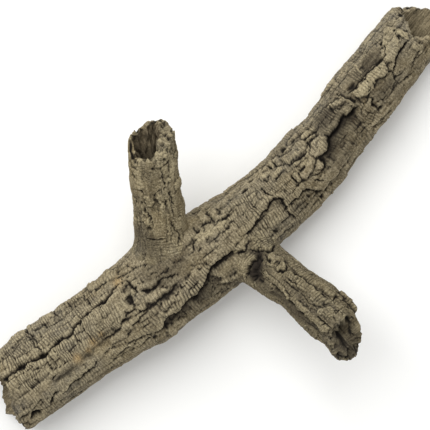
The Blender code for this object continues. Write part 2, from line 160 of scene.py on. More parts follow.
# Splits and ledges of the bark, as routes seen from above. The bark to the right
# of a route, as one follows it, is lower by the drop, which fades out over the fade.
# Each is: width, depth, drop, fade and route, or width, depth and route where nothing drops.
MAIN_CRACKS = (
    # the long split that opens at the thick end
    (12.0, 10.0, -1.5, 9.0, ((-292, 49.5), (-280, 48), (-262, 46), (-250, 45), (-240, 42.5), (-228, 39))),
    (
        6.5, 6.0, -1.0, 8.0,
        ((-236, 41), (-228, 39), (-220, 40), (-214, 41.5), (-207, 41.5), (-201, 39.5), (-194, 40)),
    ),
    (
        6.0, 4.5, -1.0, 7.0,
        ((-201, 39.5), (-196, 39.5), (-191, 42.5), (-186, 41.5), (-178, 43), (-168, 44.5),
         (-162, 45), (-155, 44), (-152, 42), (-145, 43), (-135, 46), (-124, 47.5)),
    ),
    # the cross splits on either side of it
    (3.6, 2.6, ((-231, 45), (-232, 56), (-231, 70))),
    (3.6, 2.8, ((-228, 39), (-228, 29), (-226, 18))),
    (3.2, 2.4, ((-219, 40), (-219, 28))),
    (3.2, 2.2, ((-220, 62), (-221, 54))),
    (3.6, 2.8, ((-193, 41), (-194, 30), (-196, 23))),
    (3.6, 2.8, ((-184, 42), (-184, 30), (-185, 20))),
    (3.6, 2.8, ((-168, 44), (-168, 35), (-167, 26))),
    (3.8, 2.6, ((-162, 65), (-163, 55), (-163, 45))),
    (3.4, 2.2, ((-194, 60), (-195, 51))),
    (3.6, 2.4, ((-258, 34), (-244, 33), (-236, 31), (-227, 31))),
    (3.2, 2.2, ((-254, 32), (-254, 18))),
    (3.4, 2.2, ((-256, 50), (-256, 62))),
    (3.0, 2.0, ((-212, 50), (-211, 62), (-212, 68))),
    (3.8, 2.4, ((-241, 14), (-234, 17))),
    (5.0, 3.4, ((-228, 56), (-228, 66), (-228, 73))),
    (5.0, 3.4, ((-196, 56), (-195, 64), (-195, 70))),
    (4.6, 2.8, ((-179, 56), (-179, 64), (-179, 69))),
    (5.0, 3.2, ((-154, 57), (-155, 64), (-155, 69))),
    # the trough, hollows and splits below it
    (30.0, 2.4, ((-262, 12), (-225, 10), (-185, 11), (-158, 9))),
    (5.0, 3.0, 1.0, 6.0, ((-292, 5), (-272, 5), (-262, 8), (-256, 5))),
    (5.0, 3.4, 1.0, 6.0, ((-258, -4), (-252, 1), (-246, 3), (-241, 1))),
    (5.0, 3.0, 2.2, 9.0, ((-242, -3), (-230, -2.5), (-220, -3.5), (-196, -3.5))),
    (4.0, 2.6, ((-200, -2), (-193, 1))),
    (4.0, 2.4, ((-193, 6), (-186, 5))),
    (4.2, 2.6, 0.6, 6.0, ((-185, 1), (-171, 1))),
    (3.4, 2.0, 0.5, 6.0, ((-175, -9), (-150, -11), (-140, -12), (-135, -15))),
    (3.4, 2.2, ((-143, -2), (-129, -5))),
    (5.0, 3.8, -1.2, 8.0, ((-175, 10), (-166, 9), (-160, 8.5), (-154, 10))),
    (7.0, 5.0, 2.0, 9.0, ((-154, 11), (-150, 13.5), (-146, 16), (-141, 19), (-138, 17), (-131, 16))),
    (5.0, 3.2, ((-131, 16), (-128, 20), (-127, 24), (-129, 31))),
    # the fold under the upper fork
    (6.0, 6.0, 0.8, 10.0, ((-121, 47), (-119.5, 40), (-119, 32), (-118, 27))),
    (
        8.0, 5.5, 2.6, 9.0,
        ((-118, 27), (-112, 24), (-106, 21), (-100, 20), (-95, 22), (-92, 24), (-88, 21)),
    ),
    (5.0, 4.5, 1.2, 9.0, ((-90, 22), (-85, 20), (-82, 18), (-78, 15), (-74, 12))),
    (5.0, 4.0, ((-130, 15), (-129, 11), (-126, 8), (-122, 9), (-122.5, 14))),
    (16.0, 3.5, ((-124, 7), (-110, 7.5), (-100, 7), (-92, 6), (-80, 9))),
    (8.0, 3.0, ((-147, 5), (-139, 3.5), (-120, 6))),
    (4.0, 3.0, ((-97, 18), (-95, 12), (-92, 9.5))),
    (4.0, 2.6, ((-122, 50), (-115, 48), (-111, 47))),
    (3.4, 2.2, ((-109, 38), (-108, 30), (-108, 24))),
    (3.4, 2.0, ((-72, 19), (-66, 19))),
    (3.6, 2.0, 0.6, 6.0, ((-126, 52), (-112, 52), (-98, 46), (-88, 40), (-76, 34))),
    (3.4, 2.0, ((-104, 34), (-92, 31), (-80, 26))),
    (3.6, 2.2, 0.6, 6.0, ((-98, 28), (-86, 27), (-70, 25), (-58, 26))),
    (3.0, 1.8, ((-112, 58), (-104, 50), (-100, 43))),
    # the ledge along the lower side, and the splits above and below it
    (5.0, 4.0, 2.0, 9.0, ((-154, -16.5), (-142, -16.5), (-138, -17), (-128, -18))),
    (
        7.0, 4.5, 7.5, 15.0,
        ((-130, -19), (-120, -16), (-117, -13), (-110, -12), (-104, -13), (-101, -15),
         (-96, -15.5), (-91, -13.5), (-86, -11), (-82, -11), (-78, -13), (-74, -14.5),
         (-68, -12.5), (-62, -10), (-58, -8), (-53, -5.5), (-46, -4)),
    ),
    (
        6.0, 4.0, 5.0, 14.0,
        ((-50, -4.5), (-44, -3), (-38, -2.5), (-33, -3), (-28, -3.5), (-22, -4), (-16, -6),
         (-10, -8), (-4, -5.5), (2, -2)),
    ),
    (
        5.4, 4.0, 3.0, 12.0,
        ((-2, -4), (3, 0), (8, 1.5), (15, 4), (25, 7), (33, 9), (40, 10.5), (45, 11), (48, 9),
         (50, 6), (51, 3), (50, 0), (50, -10), (50.5, -20)),
    ),
    (9.0, 4.0, ((-4, -12), (-2, -19), (-10, -24))),
    (9.0, 4.0, 3.0, 9.0, ((-49, -24.5), (-37, -27), (-28, -29), (-20, -26))),
    (3.4, 1.8, 0.5, 6.0, ((-112, -5), (-100, -4), (-84, -6), (-78, -4), (-60, -3))),
    (3.0, 2.2, ((-110, 5), (-113, -3))),
    (3.0, 2.0, ((-85, 4), (-87, -4), (-83, -10))),
    (3.4, 2.2, ((-53, 1), (-47, 1))),
    (3.4, 2.4, ((-102, -15), (-101, -22))),
    (4.0, 2.4, ((-97, -17), (-95, -26))),
    (4.4, 2.6, ((-75, -15), (-76, -22))),
    (3.6, 2.4, ((-92, -28), (-70, -26), (-48, -21))),
    (7.0, 2.2, ((-52, -7), (-59, -20))),
    # short splits on the upper side, past the fork
    (5.0, 3.5, 1.2, 6.0, ((-55, 23), (-47, 27), (-43, 29.5), (-39, 29))),
    (5.0, 3.5, 0.8, 6.0, ((-50, 21), (-40, 20.5))),
    (4.4, 3.4, ((-34, 43), (-34, 37), (-30, 35), (-25, 34.5))),
    (5.4, 3.6, 1.6, 6.0, ((-27, 38), (-17, 37), (-14, 37))),
    (4.6, 3.6, ((-14, 44), (-14, 37), (-13, 31))),
    (5.0, 3.8, 1.8, 6.0, ((-14, 31), (-6, 30), (-3, 29), (2, 30.5), (9, 32.5))),
    (9.0, 2.4, ((-4, 42), (-3, 31))),
    (3.4, 2.2, 0.6, 6.0, ((-32, 24), (-22, 25))),
    (3.6, 2.4, 0.8, 6.0, ((-10, 22), (-4, 23.5))),
    (3.4, 1.8, 0.8, 6.0, ((-16, 19), (0, 21))),
    (3.4, 2.0, ((13, 20), (13, 10))),
    (3.0, 1.8, ((26, 26), (27, 12))),
    (3.0, 1.8, ((20, 0), (21, -11))),
    (3.0, 1.8, ((38, 0), (39, -12))),
    (3.0, 2.0, ((2, -5), (6, -12), (10, -19))),
    (3.0, 2.0, ((8, -2), (13, -11), (16, -17))),
    (3.4, 1.8, ((-36, 10), (-35, 4))),
    (3.4, 1.8, ((-28, 6), (-27, 1))),
    (4.0, 2.6, ((20, -22), (10, -24))),
    # plates of the outer half
    (5.0, 3.6, ((42, 30), (44, 23), (46, 16), (49, 9))),
    (4.6, 3.6, 0.8, 8.0, ((51, -6), (58, -5), (66, -4.5), (72, -3), (78, -5), (82, -10))),
    (
        8.0, 6.5, 2.0, 9.0,
        ((82, -10), (84, -14), (87, -18), (92, -19), (100, -16), (110, -14), (122, -11)),
    ),
    (5.0, 4.5, ((73, 20), (73, 13), (74, 6))),
    (4.0, 3.0, ((73, 28), (73, 22))),
    (3.4, 2.4, ((74, 6), (74, 0), (77, -5))),
    (4.6, 4.0, ((80, 20), (84, 22.5), (86, 20))),
    (5.4, 4.6, 1.4, 7.0, ((80, 18), (83, 16), (88, 15.5), (95, 16))),
    (5.4, 5.0, 1.6, 6.0, ((79, 28), (83, 27), (92, 27), (102, 27))),
    (5.0, 3.6, ((103, 28), (107, 32), (114, 32.5))),
    (6.4, 5.0, ((112, 36), (118, 37), (122.5, 34))),
    (5.6, 5.0, 1.5, 8.0, ((92, 1.5), (97, 0), (104, 1), (107, 3), (108, 7), (107, 11), (105, 14))),
    (4.4, 3.6, ((108, 3), (108, 0), (111, -4))),
    (4.0, 3.2, 1.0, 8.0, ((86, -4.5), (92, -4), (96, -9))),
    (3.6, 2.4, ((100, 17), (103, 24), (108, 28))),
    (3.4, 2.2, ((111, 13), (112, 21))),
    (5.6, 4.0, ((63, 44), (63, 35))),
    (5.6, 4.0, ((69, 43), (69, 36), (73, 33), (78, 31))),
    (5.0, 3.4, ((106, 41), (108, 40))),
    (4.0, 2.6, ((78, 41), (88, 40.5))),
    (4.0, 2.8, ((50, 36), (51, 30), (58, 30.5))),
    (4.0, 2.6, ((47, 36), (48, 32))),
    (3.6, 2.4, 0.5, 8.0, ((58, 25), (66, 25.5), (71, 26))),
    # the high ridge and the smooth hollow beside it
    (
        9.0, 3.8, 7.0, 22.0,
        ((108, 15), (112, 14), (117, 14), (121, 16), (124, 21), (126, 25), (138, 26.5),
         (147, 29), (152, 31), (157, 28), (165, 28), (173, 27)),
    ),
    (3.4, 2.4, ((131, 10), (140, 11), (148, 15))),
    (3.4, 2.6, 0.5, 6.0, ((152, -1), (160, 4))),
    (4.0, 2.6, 0.5, 6.0, ((112, -10), (121, -7))),
    (5.0, 3.0, ((122, 49), (128, 49), (140, 49.5), (152, 50))),
    (6.0, 3.4, ((148, 46), (148, 38), (149, 31))),
    (4.0, 3.4, 0.8, 6.0, ((146, 48), (153, 48.5), (161, 48))),
    (3.4, 2.4, ((149, 42), (154, 38), (157, 32))),
    (3.0, 2.0, ((153, 43), (159, 38), (161, 33))),
    (4.6, 3.0, ((149, 62), (150, 56))),
    (4.0, 2.6, ((132, 53), (140, 53))),
    (3.4, 2.0, ((152, 58), (164, 58), (170, 59))),
    # the bright lumps near the thin end and the valley over them
    (9.0, 5.0, ((162, 54), (165, 48), (167, 42), (169, 36), (171, 30))),
    (4.0, 3.0, ((173, 28), (174, 33), (172, 40))),
    (
        11.0, 5.0, -3.0, 12.0,
        ((171, 44), (177, 44.5), (183, 45), (189, 46), (193, 48.5), (200, 49), (206, 48.5),
         (214, 49), (221, 49)),
    ),
    (5.0, 3.4, -1.2, 9.0, ((221, 49), (226, 54), (229, 58), (229, 63))),
    (4.0, 2.4, ((179, 43), (179, 36))),
    (3.6, 2.2, ((186, 44), (186, 37))),
    (4.0, 2.6, ((193, 47), (193, 35))),
    (3.6, 2.4, ((205, 48), (204, 40))),
    (3.6, 2.4, ((211, 48), (210, 40))),
    (4.0, 2.6, 0.8, 6.0, ((180, 34), (190, 34.5), (197, 36))),
    (3.4, 2.4, 0.5, 6.0, ((181, 31), (192, 32))),
    (
        8.0, 6.0, 2.0, 11.0,
        ((220, 29), (223, 33), (228, 38), (232, 40), (238, 43), (244, 45), (252, 45.5)),
    ),
    (4.0, 3.0, 0.5, 8.0, ((203, 16), (207, 18), (210, 20.5), (215, 22.5), (219, 25), (232, 25))),
    (4.2, 3.2, ((214, 38), (216, 35), (219, 33), (219, 28), (217, 25))),
    (5.4, 4.4, ((182, 30), (184, 25), (184, 18), (183, 9))),
    (3.6, 2.6, ((173, 20), (176, 10))),
    (3.4, 2.6, ((186, 18), (192, 18.5), (200, 17.5))),
    (4.4, 3.4, ((245, 61), (245, 50))),
    (4.0, 3.0, ((253, 44), (257, 41), (263, 41))),
    (3.6, 2.6, 0.5, 8.0, ((205, 69), (218, 67.5), (232, 66))),
    (4.0, 2.8, ((246, 69.5), (252, 70), (258, 71))),
    (3.0, 1.8, ((212, 18), (222, 18.5), (236, 19))),
    (3.6, 2.4, 0.8, 6.0, ((236, 25), (250, 25.5), (262, 27))),
    (4.0, 3.0, 1.5, 6.0, ((164, 2), (170, 3), (180, 4), (192, 5))),
)
UPPER_CRACKS = (
    (26.0, 2.4, ((-54, 70), (-50, 80), (-45, 92), (-38, 106), (-35, 118))),
    (5.0, 3.0, 0.6, 8.0, ((-79, 64), (-75, 60), (-70, 54), (-66, 50.5), (-61, 47.5))),
    (5.4, 3.5, 0.8, 8.0, ((-61, 41), (-57, 46), (-53, 50), (-50, 55))),
    (4.4, 3.0, ((-59, 36), (-54, 39), (-49, 43), (-48, 50), (-48, 58))),
    (4.4, 3.4, ((-43, 56), (-40, 57.5))),
    (4.4, 3.2, 0.8, 8.0, ((-47, 88), (-42, 91), (-38, 90.5))),
    (4.0, 3.0, ((-36, 88), (-35, 92))),
    (4.6, 3.4, ((-32, 88), (-28, 92), (-26, 97), (-23, 101))),
    (4.0, 2.8, ((-68, 70), (-63, 74), (-62, 80), (-64, 86))),
    (4.0, 2.8, ((-58, 86), (-57, 92))),
    (4.0, 2.6, ((-76, 80), (-71, 77), (-69, 72))),
    (5.0, 3.0, ((-34, 68), (-32, 75), (-30, 80), (-24, 81))),
    (4.0, 2.6, ((-40, 72), (-42, 78), (-40, 84))),
    (4.4, 2.8, ((-24, 118), (-24, 108), (-20, 106))),
    (4.0, 2.6, ((-17, 115), (-8, 113))),
    (4.0, 2.6, ((-19, 108), (-13, 106), (-8, 108))),
)
LOWER_CRACKS = (
    (6.0, 4.0, 4.0, 14.0, ((-33, -3), (-28, -3.5), (-22, -4), (-16, -6), (-10, -8), (-4, -5.5), (2, -2))),
    (6.0, 4.5, 3.0, 9.0, ((-6, -8), (0, -14), (8, -22), (14, -24), (20, -25))),
    (10.0, 5.0, 5.0, 9.0, ((-29, -32), (-25, -28.5), (-18, -23), (-10, -21), (-4, -21), (1, -17))),
    (13.0, 5.5, ((3, -20), (-6, -24), (-14, -29), (-22, -35), (-26, -41))),
    (5.0, 4.0, ((4, -22), (3, -32), (6, -40))),
    (4.0, 2.6, ((-24, -30), (-14, -36), (-8, -44))),
    (5.0, 4.0, ((0, -42), (3, -48), (9, -50), (12, -49), (15, -43), (19, -41))),
    (
        5.0, 4.0, -2.5, 8.0,
        ((11, -51), (15, -56), (17, -65), (18.5, -75), (21, -85), (21, -95), (22, -103)),
    ),
    (5.6, 4.4, 1.0, 6.0, ((24, -105), (33, -104))),
    (
        10.0, 5.0, 2.5, 10.0,
        ((-12, -52), (-11, -66), (-10, -78), (-9.5, -90), (-7, -98), (-8, -106), (-4, -114), (-5, -124)),
    ),
    (5.4, 3.8, ((3, -106), (4, -114), (5, -124))),
    (4.0, 2.2, ((0, -54), (3, -66), (6, -78), (7, -90), (9, -100))),
    (4.0, 2.2, ((5, -56), (8, -68), (10, -78))),
    (5.0, 2.6, ((-4, -60), (-4, -70), (-8, -76))),
    (4.0, 2.0, ((9, -104), (12, -114), (14, -120))),
    (3.4, 1.8, ((12, -79), (20, -78.5))),
    (3.4, 1.8, ((11, -95), (20, -96))),
    (3.6, 2.0, ((19, -115), (30, -117))),
    (4.0, 2.6, ((-10, -30), (-12, -40), (-11, -50))),
)

# Lobes and flakes that stand out: width, height, edge (0.5 rounded, less is steeper),
# tone (from -1, dark, to 1, light) and route.
MAIN_LOBES = (
    (5.5, 3.0, 0.5, 0.2, ((-127, 12.5), (-125.5, 12.5))),
    (5.5, 3.6, 0.5, 0.3, ((-123.5, 31), (-122.5, 29))),
    (11.0, 1.6, 0.4, 0.2, ((-147, 9), (-135, 10))),
    (13.0, 1.8, 0.4, 0.15, ((-117, 20), (-110, 15), (-103, 14))),
    (9.0, 1.8, 0.4, -0.1, ((-91, 15), (-84, 14))),
    (15.0, 2.2, 0.3, 0.1, ((-107, -4), (-90, -4), (-70, -2), (-56, 2))),
    (15.0, 3.4, 0.5, 0.1, ((-113, -26), (-108, -26))),
    (9.0, 2.2, 0.5, 0.1, ((-85, -18), (-84, -24))),
    (9.0, 1.8, 0.5, -0.1, ((-69, -19), (-67, -24))),
    (14.0, 3.0, 0.4, -0.1, ((-40, -30), (-32, -32))),
    (8.0, 1.2, 0.4, 0.45, ((-37, 30), (-20, 32))),
    (6.0, 1.2, 0.4, 0.4, ((-27, 27), (-10, 26), (0, 25))),
    (11.0, 2.2, 0.5, 0.0, ((-20, 46), (-20, 42))),
    (9.0, 2.2, 0.5, 0.05, ((-9, 43), (-9, 36))),
    (16.0, 1.4, 0.3, 0.0, ((-26, 9), (-6, 9))),
    (13.0, 1.2, 0.4, 0.25, ((4, -8), (10, -12))),
    (12.0, 3.6, 0.45, -0.05, ((82, 33.5), (92, 34), (101, 34))),
    (4.0, 1.6, 0.4, 0.5, ((84, 24.5), (96, 24.5), (103, 26))),
    (5.0, 1.8, 0.4, 0.4, ((89, 20.5), (97, 20))),
    (7.0, 2.6, 0.5, 0.05, ((84, 9), (92, 12), (98, 16), (102, 22))),
    (14.0, 4.4, 0.5, 0.05, ((109, 22), (117, 24))),
    (9.0, 3.6, 0.5, 0.15, ((102.5, 7), (103, 9))),
    (7.0, 3.2, 0.5, 0.05, ((113, 17), (118, 18))),
    (5.5, 3.5, 0.5, 0.6, ((76.5, 8), (76.5, 16))),
    (4.0, 2.4, 0.4, 0.5, ((108, 38.5), (114, 40.5), (120, 38.5))),
    (4.0, 2.0, 0.4, 0.4, ((110, 34), (118, 33.5))),
    (4.5, 3.0, 0.5, 0.3, ((66, 42), (66, 37))),
    (7.0, 2.0, 0.5, 0.3, ((52, 35), (59, 34))),
    (7.0, 2.0, 0.5, 0.3, ((61, 31), (71, 31))),
    (9.0, 2.6, 0.5, -0.3, ((81, 45), (86, 45))),
    (7.0, 2.0, 0.5, 0.2, ((95, 46), (103, 46))),
    (7.0, 2.0, 0.5, -0.1, ((111, 45), (119, 45))),
    (19.0, 2.6, 0.35, -0.1, ((128, 38), (145, 39), (156, 38))),
    (3.5, 2.0, 0.4, 0.5, ((149, 45.5), (161, 42))),
    (3.0, 2.2, 0.4, 0.5, ((162.5, 51), (164, 42), (165.5, 33))),
    (5.0, 1.6, 0.4, 0.45, ((-45, -21), (-34, -23), (-28, -24))),
    (6.0, 1.8, 0.45, 0.45, ((6, -17), (14, -19), (24, -20))),
    (12.0, 3.4, 0.4, 0.5, ((179, 38), (191, 38))),
    (15.0, 3.8, 0.4, 0.5, ((201, 43), (210, 43))),
    (5.0, 1.4, 0.4, 0.35, ((182, 36.5), (190, 37))),
    (11.0, 1.4, 0.3, -0.2, ((190, 25), (202, 26), (211, 25))),
    (19.0, 2.4, 0.4, 0.3, ((229, 50), (236, 58), (240, 64))),
    (7.0, 3.0, 0.5, 0.6, ((250, 58), (252, 50))),
    (8.0, 1.8, 0.4, 0.35, ((252, 38), (254, 33))),
    (2.5, 1.2, 0.4, 0.4, ((193, 67), (194.5, 52))),
    (7.0, 2.0, 0.15, 0.1, ((168, -1), (180, -1), (190, 1))),
    (9.0, 2.4, 0.5, 0.0, ((82, -22), (88, -22))),
    (18.0, 2.6, 0.5, 0.05, ((-148, 62), (-132, 61))),
    (16.0, 2.4, 0.5, 0.05, ((-262, 69), (-238, 70))),
    (16.0, 2.4, 0.5, 0.05, ((-218, 68), (-206, 67))),
    (14.0, 2.2, 0.5, 0.05, ((-187, 66), (-186, 66))),
    (14.0, 2.2, 0.5, 0.05, ((-169, 65), (-166, 65))),
    (10.0, 2.6, 0.5, 0.1, ((152, 62), (166, 64))),
)
UPPER_LOBES = (
    (12.0, 2.4, 0.5, 0.5, ((-18, 84), (-15, 84))),
    (12.0, 1.8, 0.4, 0.45, ((-19, 92), (-12, 98), (-6, 105))),
    (9.0, 2.6, 0.5, 0.3, ((-9, 114), (0, 124), (6, 128))),
    (9.0, 2.0, 0.5, 0.2, ((-18, 112), (-12, 118), (-4, 128))),
    (8.0, 1.8, 0.5, 0.2, ((-44, 76), (-41, 84))),
    (7.0, 1.8, 0.5, 0.15, ((-67, 78), (-66, 74))),
    (7.0, 1.8, 0.5, 0.1, ((-53, 88), (-52, 94))),
    (10.0, 1.4, 0.4, 0.25, ((-48, 108), (-42, 118))),
)
LOWER_LOBES = (
    (13.0, 4.2, 0.45, 0.1, ((10, -32), (13, -38))),
    (8.0, 3.4, 0.5, 0.25, ((5, -44), (9, -45.5), (12, -44))),
    (10.0, 2.0, 0.35, 0.1, ((21, -50), (23, -60), (25, -75), (28, -88), (29, -98))),
    (10.0, 2.0, 0.35, 0.05, ((8, -56), (12, -68), (15, -82), (16, -96))),
    (8.0, 4.0, 0.2, 0.0, ((35, -107), (36, -125))),
    (10.0, 2.0, 0.4, 0.25, ((10, -106), (16, -114))),
    (6.0, 2.6, 0.5, 0.15, ((0, -110), (1, -122))),
    (6.0, 2.2, 0.5, 0.1, ((-2, -100), (-3, -86))),
    (5.0, 2.0, 0.5, 0.3, ((-6, -64), (-7, -70))),
    (9.0, 2.4, 0.5, 0.2, ((4, -35), (9, -34))),
)

# Pits: place seen from above, reach along and round, depth.
MAIN_PITS = (
    (-274, -2, 6.0, 4.5, 8.0),
    (-130, 27, 4.5, 5.0, 4.0),
    (-125, 37, 5.0, 6.0, 2.5),
    (40, 42, 4.0, 2.6, 5.0),
    (57, 43, 2.5, 2.2, 3.0),
    (85, 43.5, 3.5, 3.0, 4.0),
    (97, 45, 2.4, 2.2, 3.0),
    (86, -16, 5.0, 4.0, 3.5),
    (84, -21, 3.0, 2.5, 3.0),
    (203, 66, 16.0, 12.0, 2.0),
    (209, 57, 14.0, 8.0, 1.8),
    (176, 49, 5.0, 4.0, 2.6),
    (-14, -33, 14.0, 8.0, 3.5),
    (262, 74, 6.0, 3.5, 5.0),
    (247, 63.5, 2.4, 1.8, 3.0),
    (228, 63, 2.4, 1.8, 2.6),
    (186.5, 12, 1.8, 1.8, 2.6),
    (29, 38, 4.5, 2.0, 2.4),
    (-134, -20, 3.0, 3.0, 2.0),
    (131, -17, 12.0, 13.0, 2.4),
    (174, -4, 14.0, 13.0, 2.4),
    (66, 47, 12.0, 10.0, 1.8),
    (10, 50, 16.0, 11.0, 1.8),
    (203, 73, 14.0, 12.0, 2.2),
    (-150, -28, 18.0, 13.0, 2.0),
)
UPPER_PITS = (
    (-45, 120, 3.0, 3.0, 3.5),
    (-51, 103, 2.2, 2.2, 2.6),
    (-60, 93, 2.2, 2.2, 2.6),
    (-63, 86, 2.2, 2.2, 2.6),
    (-55, 94, 2.0, 2.0, 2.2),
    (-74, 86, 2.4, 2.4, 2.4),
    (-14, 112, 2.0, 2.0, 2.2),
    (-40, 77, 2.2, 2.2, 2.2),
    (-28, 112, 2.2, 2.2, 2.0),
    (-36, 129, 2.4, 2.4, 2.6),
    (-70, 68, 3.0, 3.0, 2.4),
)
LOWER_PITS = (
    (-20, -38, 8.0, 7.0, 5.0),
    (13, -33, 3.5, 4.0, 3.0),
    (33, -120, 3.5, 4.0, 2.6),
    (17, -40, 3.0, 3.0, 3.0),
    (-8, -95, 4.0, 3.0, 2.5),
    (-20, -72, 13.0, 12.0, 3.2),
    (-13, -124, 22.0, 12.0, 3.4),
)

# How much of each kind of bark shows, by place: reach along and round, then the
# strength of ribs, of knobs and of smoothness there, and the tone. The tone is the bark's own tone, with
# painted shade in the dark tones of the forks, under the upper branch and in the valleys.
MAIN_GROUNDS = (
    (-235, 58, 36.0, 15.0, 1.0, 0.0, 0.0, 0.25),
    (-180, 56, 40.0, 13.0, 0.9, 0.0, 0.0, 0.2),
    (-225, 29, 44.0, 13.0, 1.0, 0.0, 0.0, 0.5),
    (-172, 29, 26.0, 14.0, 0.9, 0.0, 0.0, 0.4),
    (-140, 32, 12.0, 10.0, 0.2, 0.0, 0.6, 0.1),
    (-205, 11, 52.0, 6.0, 0.0, 0.0, 1.0, 0.0),
    (-205, 1, 45.0, 6.0, 0.4, 0.0, 0.3, 0.2),
    (-180, -10, 60.0, 7.0, 0.5, 0.0, 0.2, 0.3),
    (-140, -8, 22.0, 9.0, 0.7, 0.0, 0.1, 0.2),
    (-110, 45, 20.0, 14.0, 0.3, 0.1, 0.4, 0.0),
    (-82, 30, 24.0, 14.0, 0.3, 0.2, 0.1, -0.6),
    (-62, 15, 18.0, 6.0, 0.1, 0.0, 0.9, -0.2),
    (-70, -3, 44.0, 9.0, 0.9, 0.0, 0.0, -0.2),
    (-70, -21, 48.0, 8.0, 0.5, 0.0, 0.5, -0.3),
    (-20, 9, 24.0, 9.0, 0.5, 0.0, 0.1, 0.05),
    (-20, 42, 24.0, 9.0, 0.0, 0.0, 0.9, 0.05),
    (-22, 28, 20.0, 6.0, 0.0, 0.1, 0.5, 0.3),
    (-25, -14, 20.0, 8.0, 0.3, 0.0, 0.6, 0.45),
    (-18, -32, 20.0, 7.0, 0.0, 0.4, 0.0, -0.4),
    (22, 22, 22.0, 13.0, 1.0, 0.0, 0.0, 0.3),
    (28, -8, 22.0, 12.0, 1.0, 0.0, 0.0, 0.25),
    (22, 42, 20.0, 6.0, 0.1, 0.5, 0.0, 0.15),
    (62, 10, 11.0, 13.0, 1.0, 0.0, 0.0, 0.0),
    (66, -10, 16.0, 10.0, 0.9, 0.0, 0.0, -0.35),
    (60, 39, 18.0, 8.0, 0.0, 0.7, 0.0, 0.1),
    (95, 45, 26.0, 6.0, 0.1, 0.8, 0.0, -0.05),
    (94, 10, 14.0, 12.0, 0.1, 0.3, 0.4, -0.15),
    (100, -10, 18.0, 8.0, 0.1, 0.2, 0.4, -0.2),
    (142, 10, 30.0, 15.0, 0.7, 0.0, 0.4, -0.4),
    (140, 36, 18.0, 12.0, 0.9, 0.0, 0.2, -0.7),
    (140, 53, 18.0, 5.0, 0.0, 0.2, 0.0, -0.2),
    (166, 40, 6.0, 12.0, 0.5, 0.2, 0.0, -0.7),
    (183, 55, 10.0, 11.0, 0.7, 0.0, 0.3, -0.3),
    (185, 64, 26.0, 5.0, 0.5, 0.0, 0.1, 0.0),
    (211, 58, 13.0, 11.0, 0.1, 0.0, 0.6, -0.55),
    (178, 18, 14.0, 10.0, 0.5, 0.0, 0.1, -0.25),
    (200, 24, 14.0, 7.0, 0.2, 0.0, 0.4, -0.45),
    (195, 8, 40.0, 6.0, 0.2, 0.0, 0.4, -0.05),
    (225, 17, 26.0, 8.0, 0.2, 0.0, 0.3, -0.35),
    (238, 33, 16.0, 7.0, 0.1, 0.0, 1.0, -0.05),
    (240, 60, 14.0, 14.0, 0.2, 0.1, 0.3, 0.15),
    (235, 76, 26.0, 6.0, 0.1, 0.4, 0.0, 0.05),
    (258, 66, 8.0, 12.0, 0.0, 0.5, 0.0, -0.1),
)
UPPER_GROUNDS = (
    (-88, 44, 14.0, 16.0, 0.2, 0.3, 0.0, -0.3),
    (-80, 66, 14.0, 16.0, 0.1, 0.4, 0.0, -0.7),
    (-62, 92, 34.0, 9.0, 0.0, 0.8, 0.0, -0.2),
    (-54, 76, 10.0, 6.0, 0.0, 0.0, 1.0, 0.0),
    (-36, 106, 16.0, 8.0, 0.0, 0.0, 1.0, -0.15),
    (-36, 84, 18.0, 7.0, 0.0, 0.9, 0.0, 0.1),
    (-18, 92, 16.0, 8.0, 0.1, 0.1, 0.4, 0.45),
    (-10, 116, 18.0, 9.0, 0.0, 0.8, 0.0, 0.2),
    (-58, 60, 12.0, 12.0, 0.1, 0.2, 0.5, 0.05),
)
LOWER_GROUNDS = (
    (-24, -14, 12.0, 9.0, 0.1, 0.0, 0.9, 0.6),
    (0, -21, 6.0, 6.0, 0.0, 0.9, 0.0, -0.8),
    (-11, -28, 7.0, 7.0, 0.0, 0.9, 0.0, -1.0),
    (-21, -35, 8.0, 8.0, 0.0, 0.8, 0.0, -1.0),
    (12, -14, 12.0, 9.0, 1.0, 0.0, 0.0, 0.35),
    (8, -26, 7.0, 7.0, 0.0, 0.9, 0.0, -0.1),
    (14, -80, 30.0, 7.0, 0.8, 0.0, 0.1, -0.15),
    (26, -75, 34.0, 7.0, 0.9, 0.0, 0.2, -0.1),
    (0, -80, 34.0, 7.0, 0.3, 0.4, 0.0, -0.2),
    (-14, -80, 50.0, 6.0, 0.2, 0.2, 0.0, -0.6),
    (-20, -46, 10.0, 9.0, 0.0, 0.5, 0.0, -0.45),
    (4, -36, 12.0, 10.0, 0.1, 0.8, 0.0, -0.1),
    (16, -38, 8.0, 8.0, 0.0, 0.6, 0.0, -0.3),
    (8, -140, 16.0, 22.0, 0.0, 0.8, 0.0, -0.4),
    (30, -114, 12.0, 8.0, 0.4, 0.2, 0.0, -0.1),
)
ELSEWHERE, ELSEWHERE_WEIGHT = (0.55, 0.15, 0.15, 0.0), 0.35

# Shape of the splits: their half width as a share of the stated width, how soon they
# open from their ends, and the lip of bark that stands up beside a ledge.
CRACK_WIDTH, CRACK_TAPER = 0.25, 9.0
LIP_REACH, LIP_SHARE = 4.0, 0.3
EDGE_WANDERS = ((9.0, 2.0), (4.0, 1.6), (2.0, 0.8))

# Grain of cork oak bark.
BLOCK_WIDTH, BLOCK_LENGTH = 9.0, 13.0
BLOCK_LEVEL, BLOCK_TILT, BLOCK_CRACK = 1.6, 2.2, 1.2
SIDE_CRACK_REACH, END_CRACK_REACH = 1.2, 1.3
KNOB_SCALE = (11.0, 8.5)
KNOB_HEIGHT = 2.6
ROUGHNESS_SCALES = ((5.0, 0.55), (2.6, 0.35))
RIB_PITCH = 3.0
# Sizes of the noise that bends and frays the ribs and strips, and how many of them it moves.
BEND_SIZE, FRAY_SIZE = 30.0, 5.0
STRIP_BEND, STRIP_FRAY = 5.0, 0.8
RIB_BEND, RIB_FRAY, RIB_SHIFT = 4.5, 0.6, 0.3
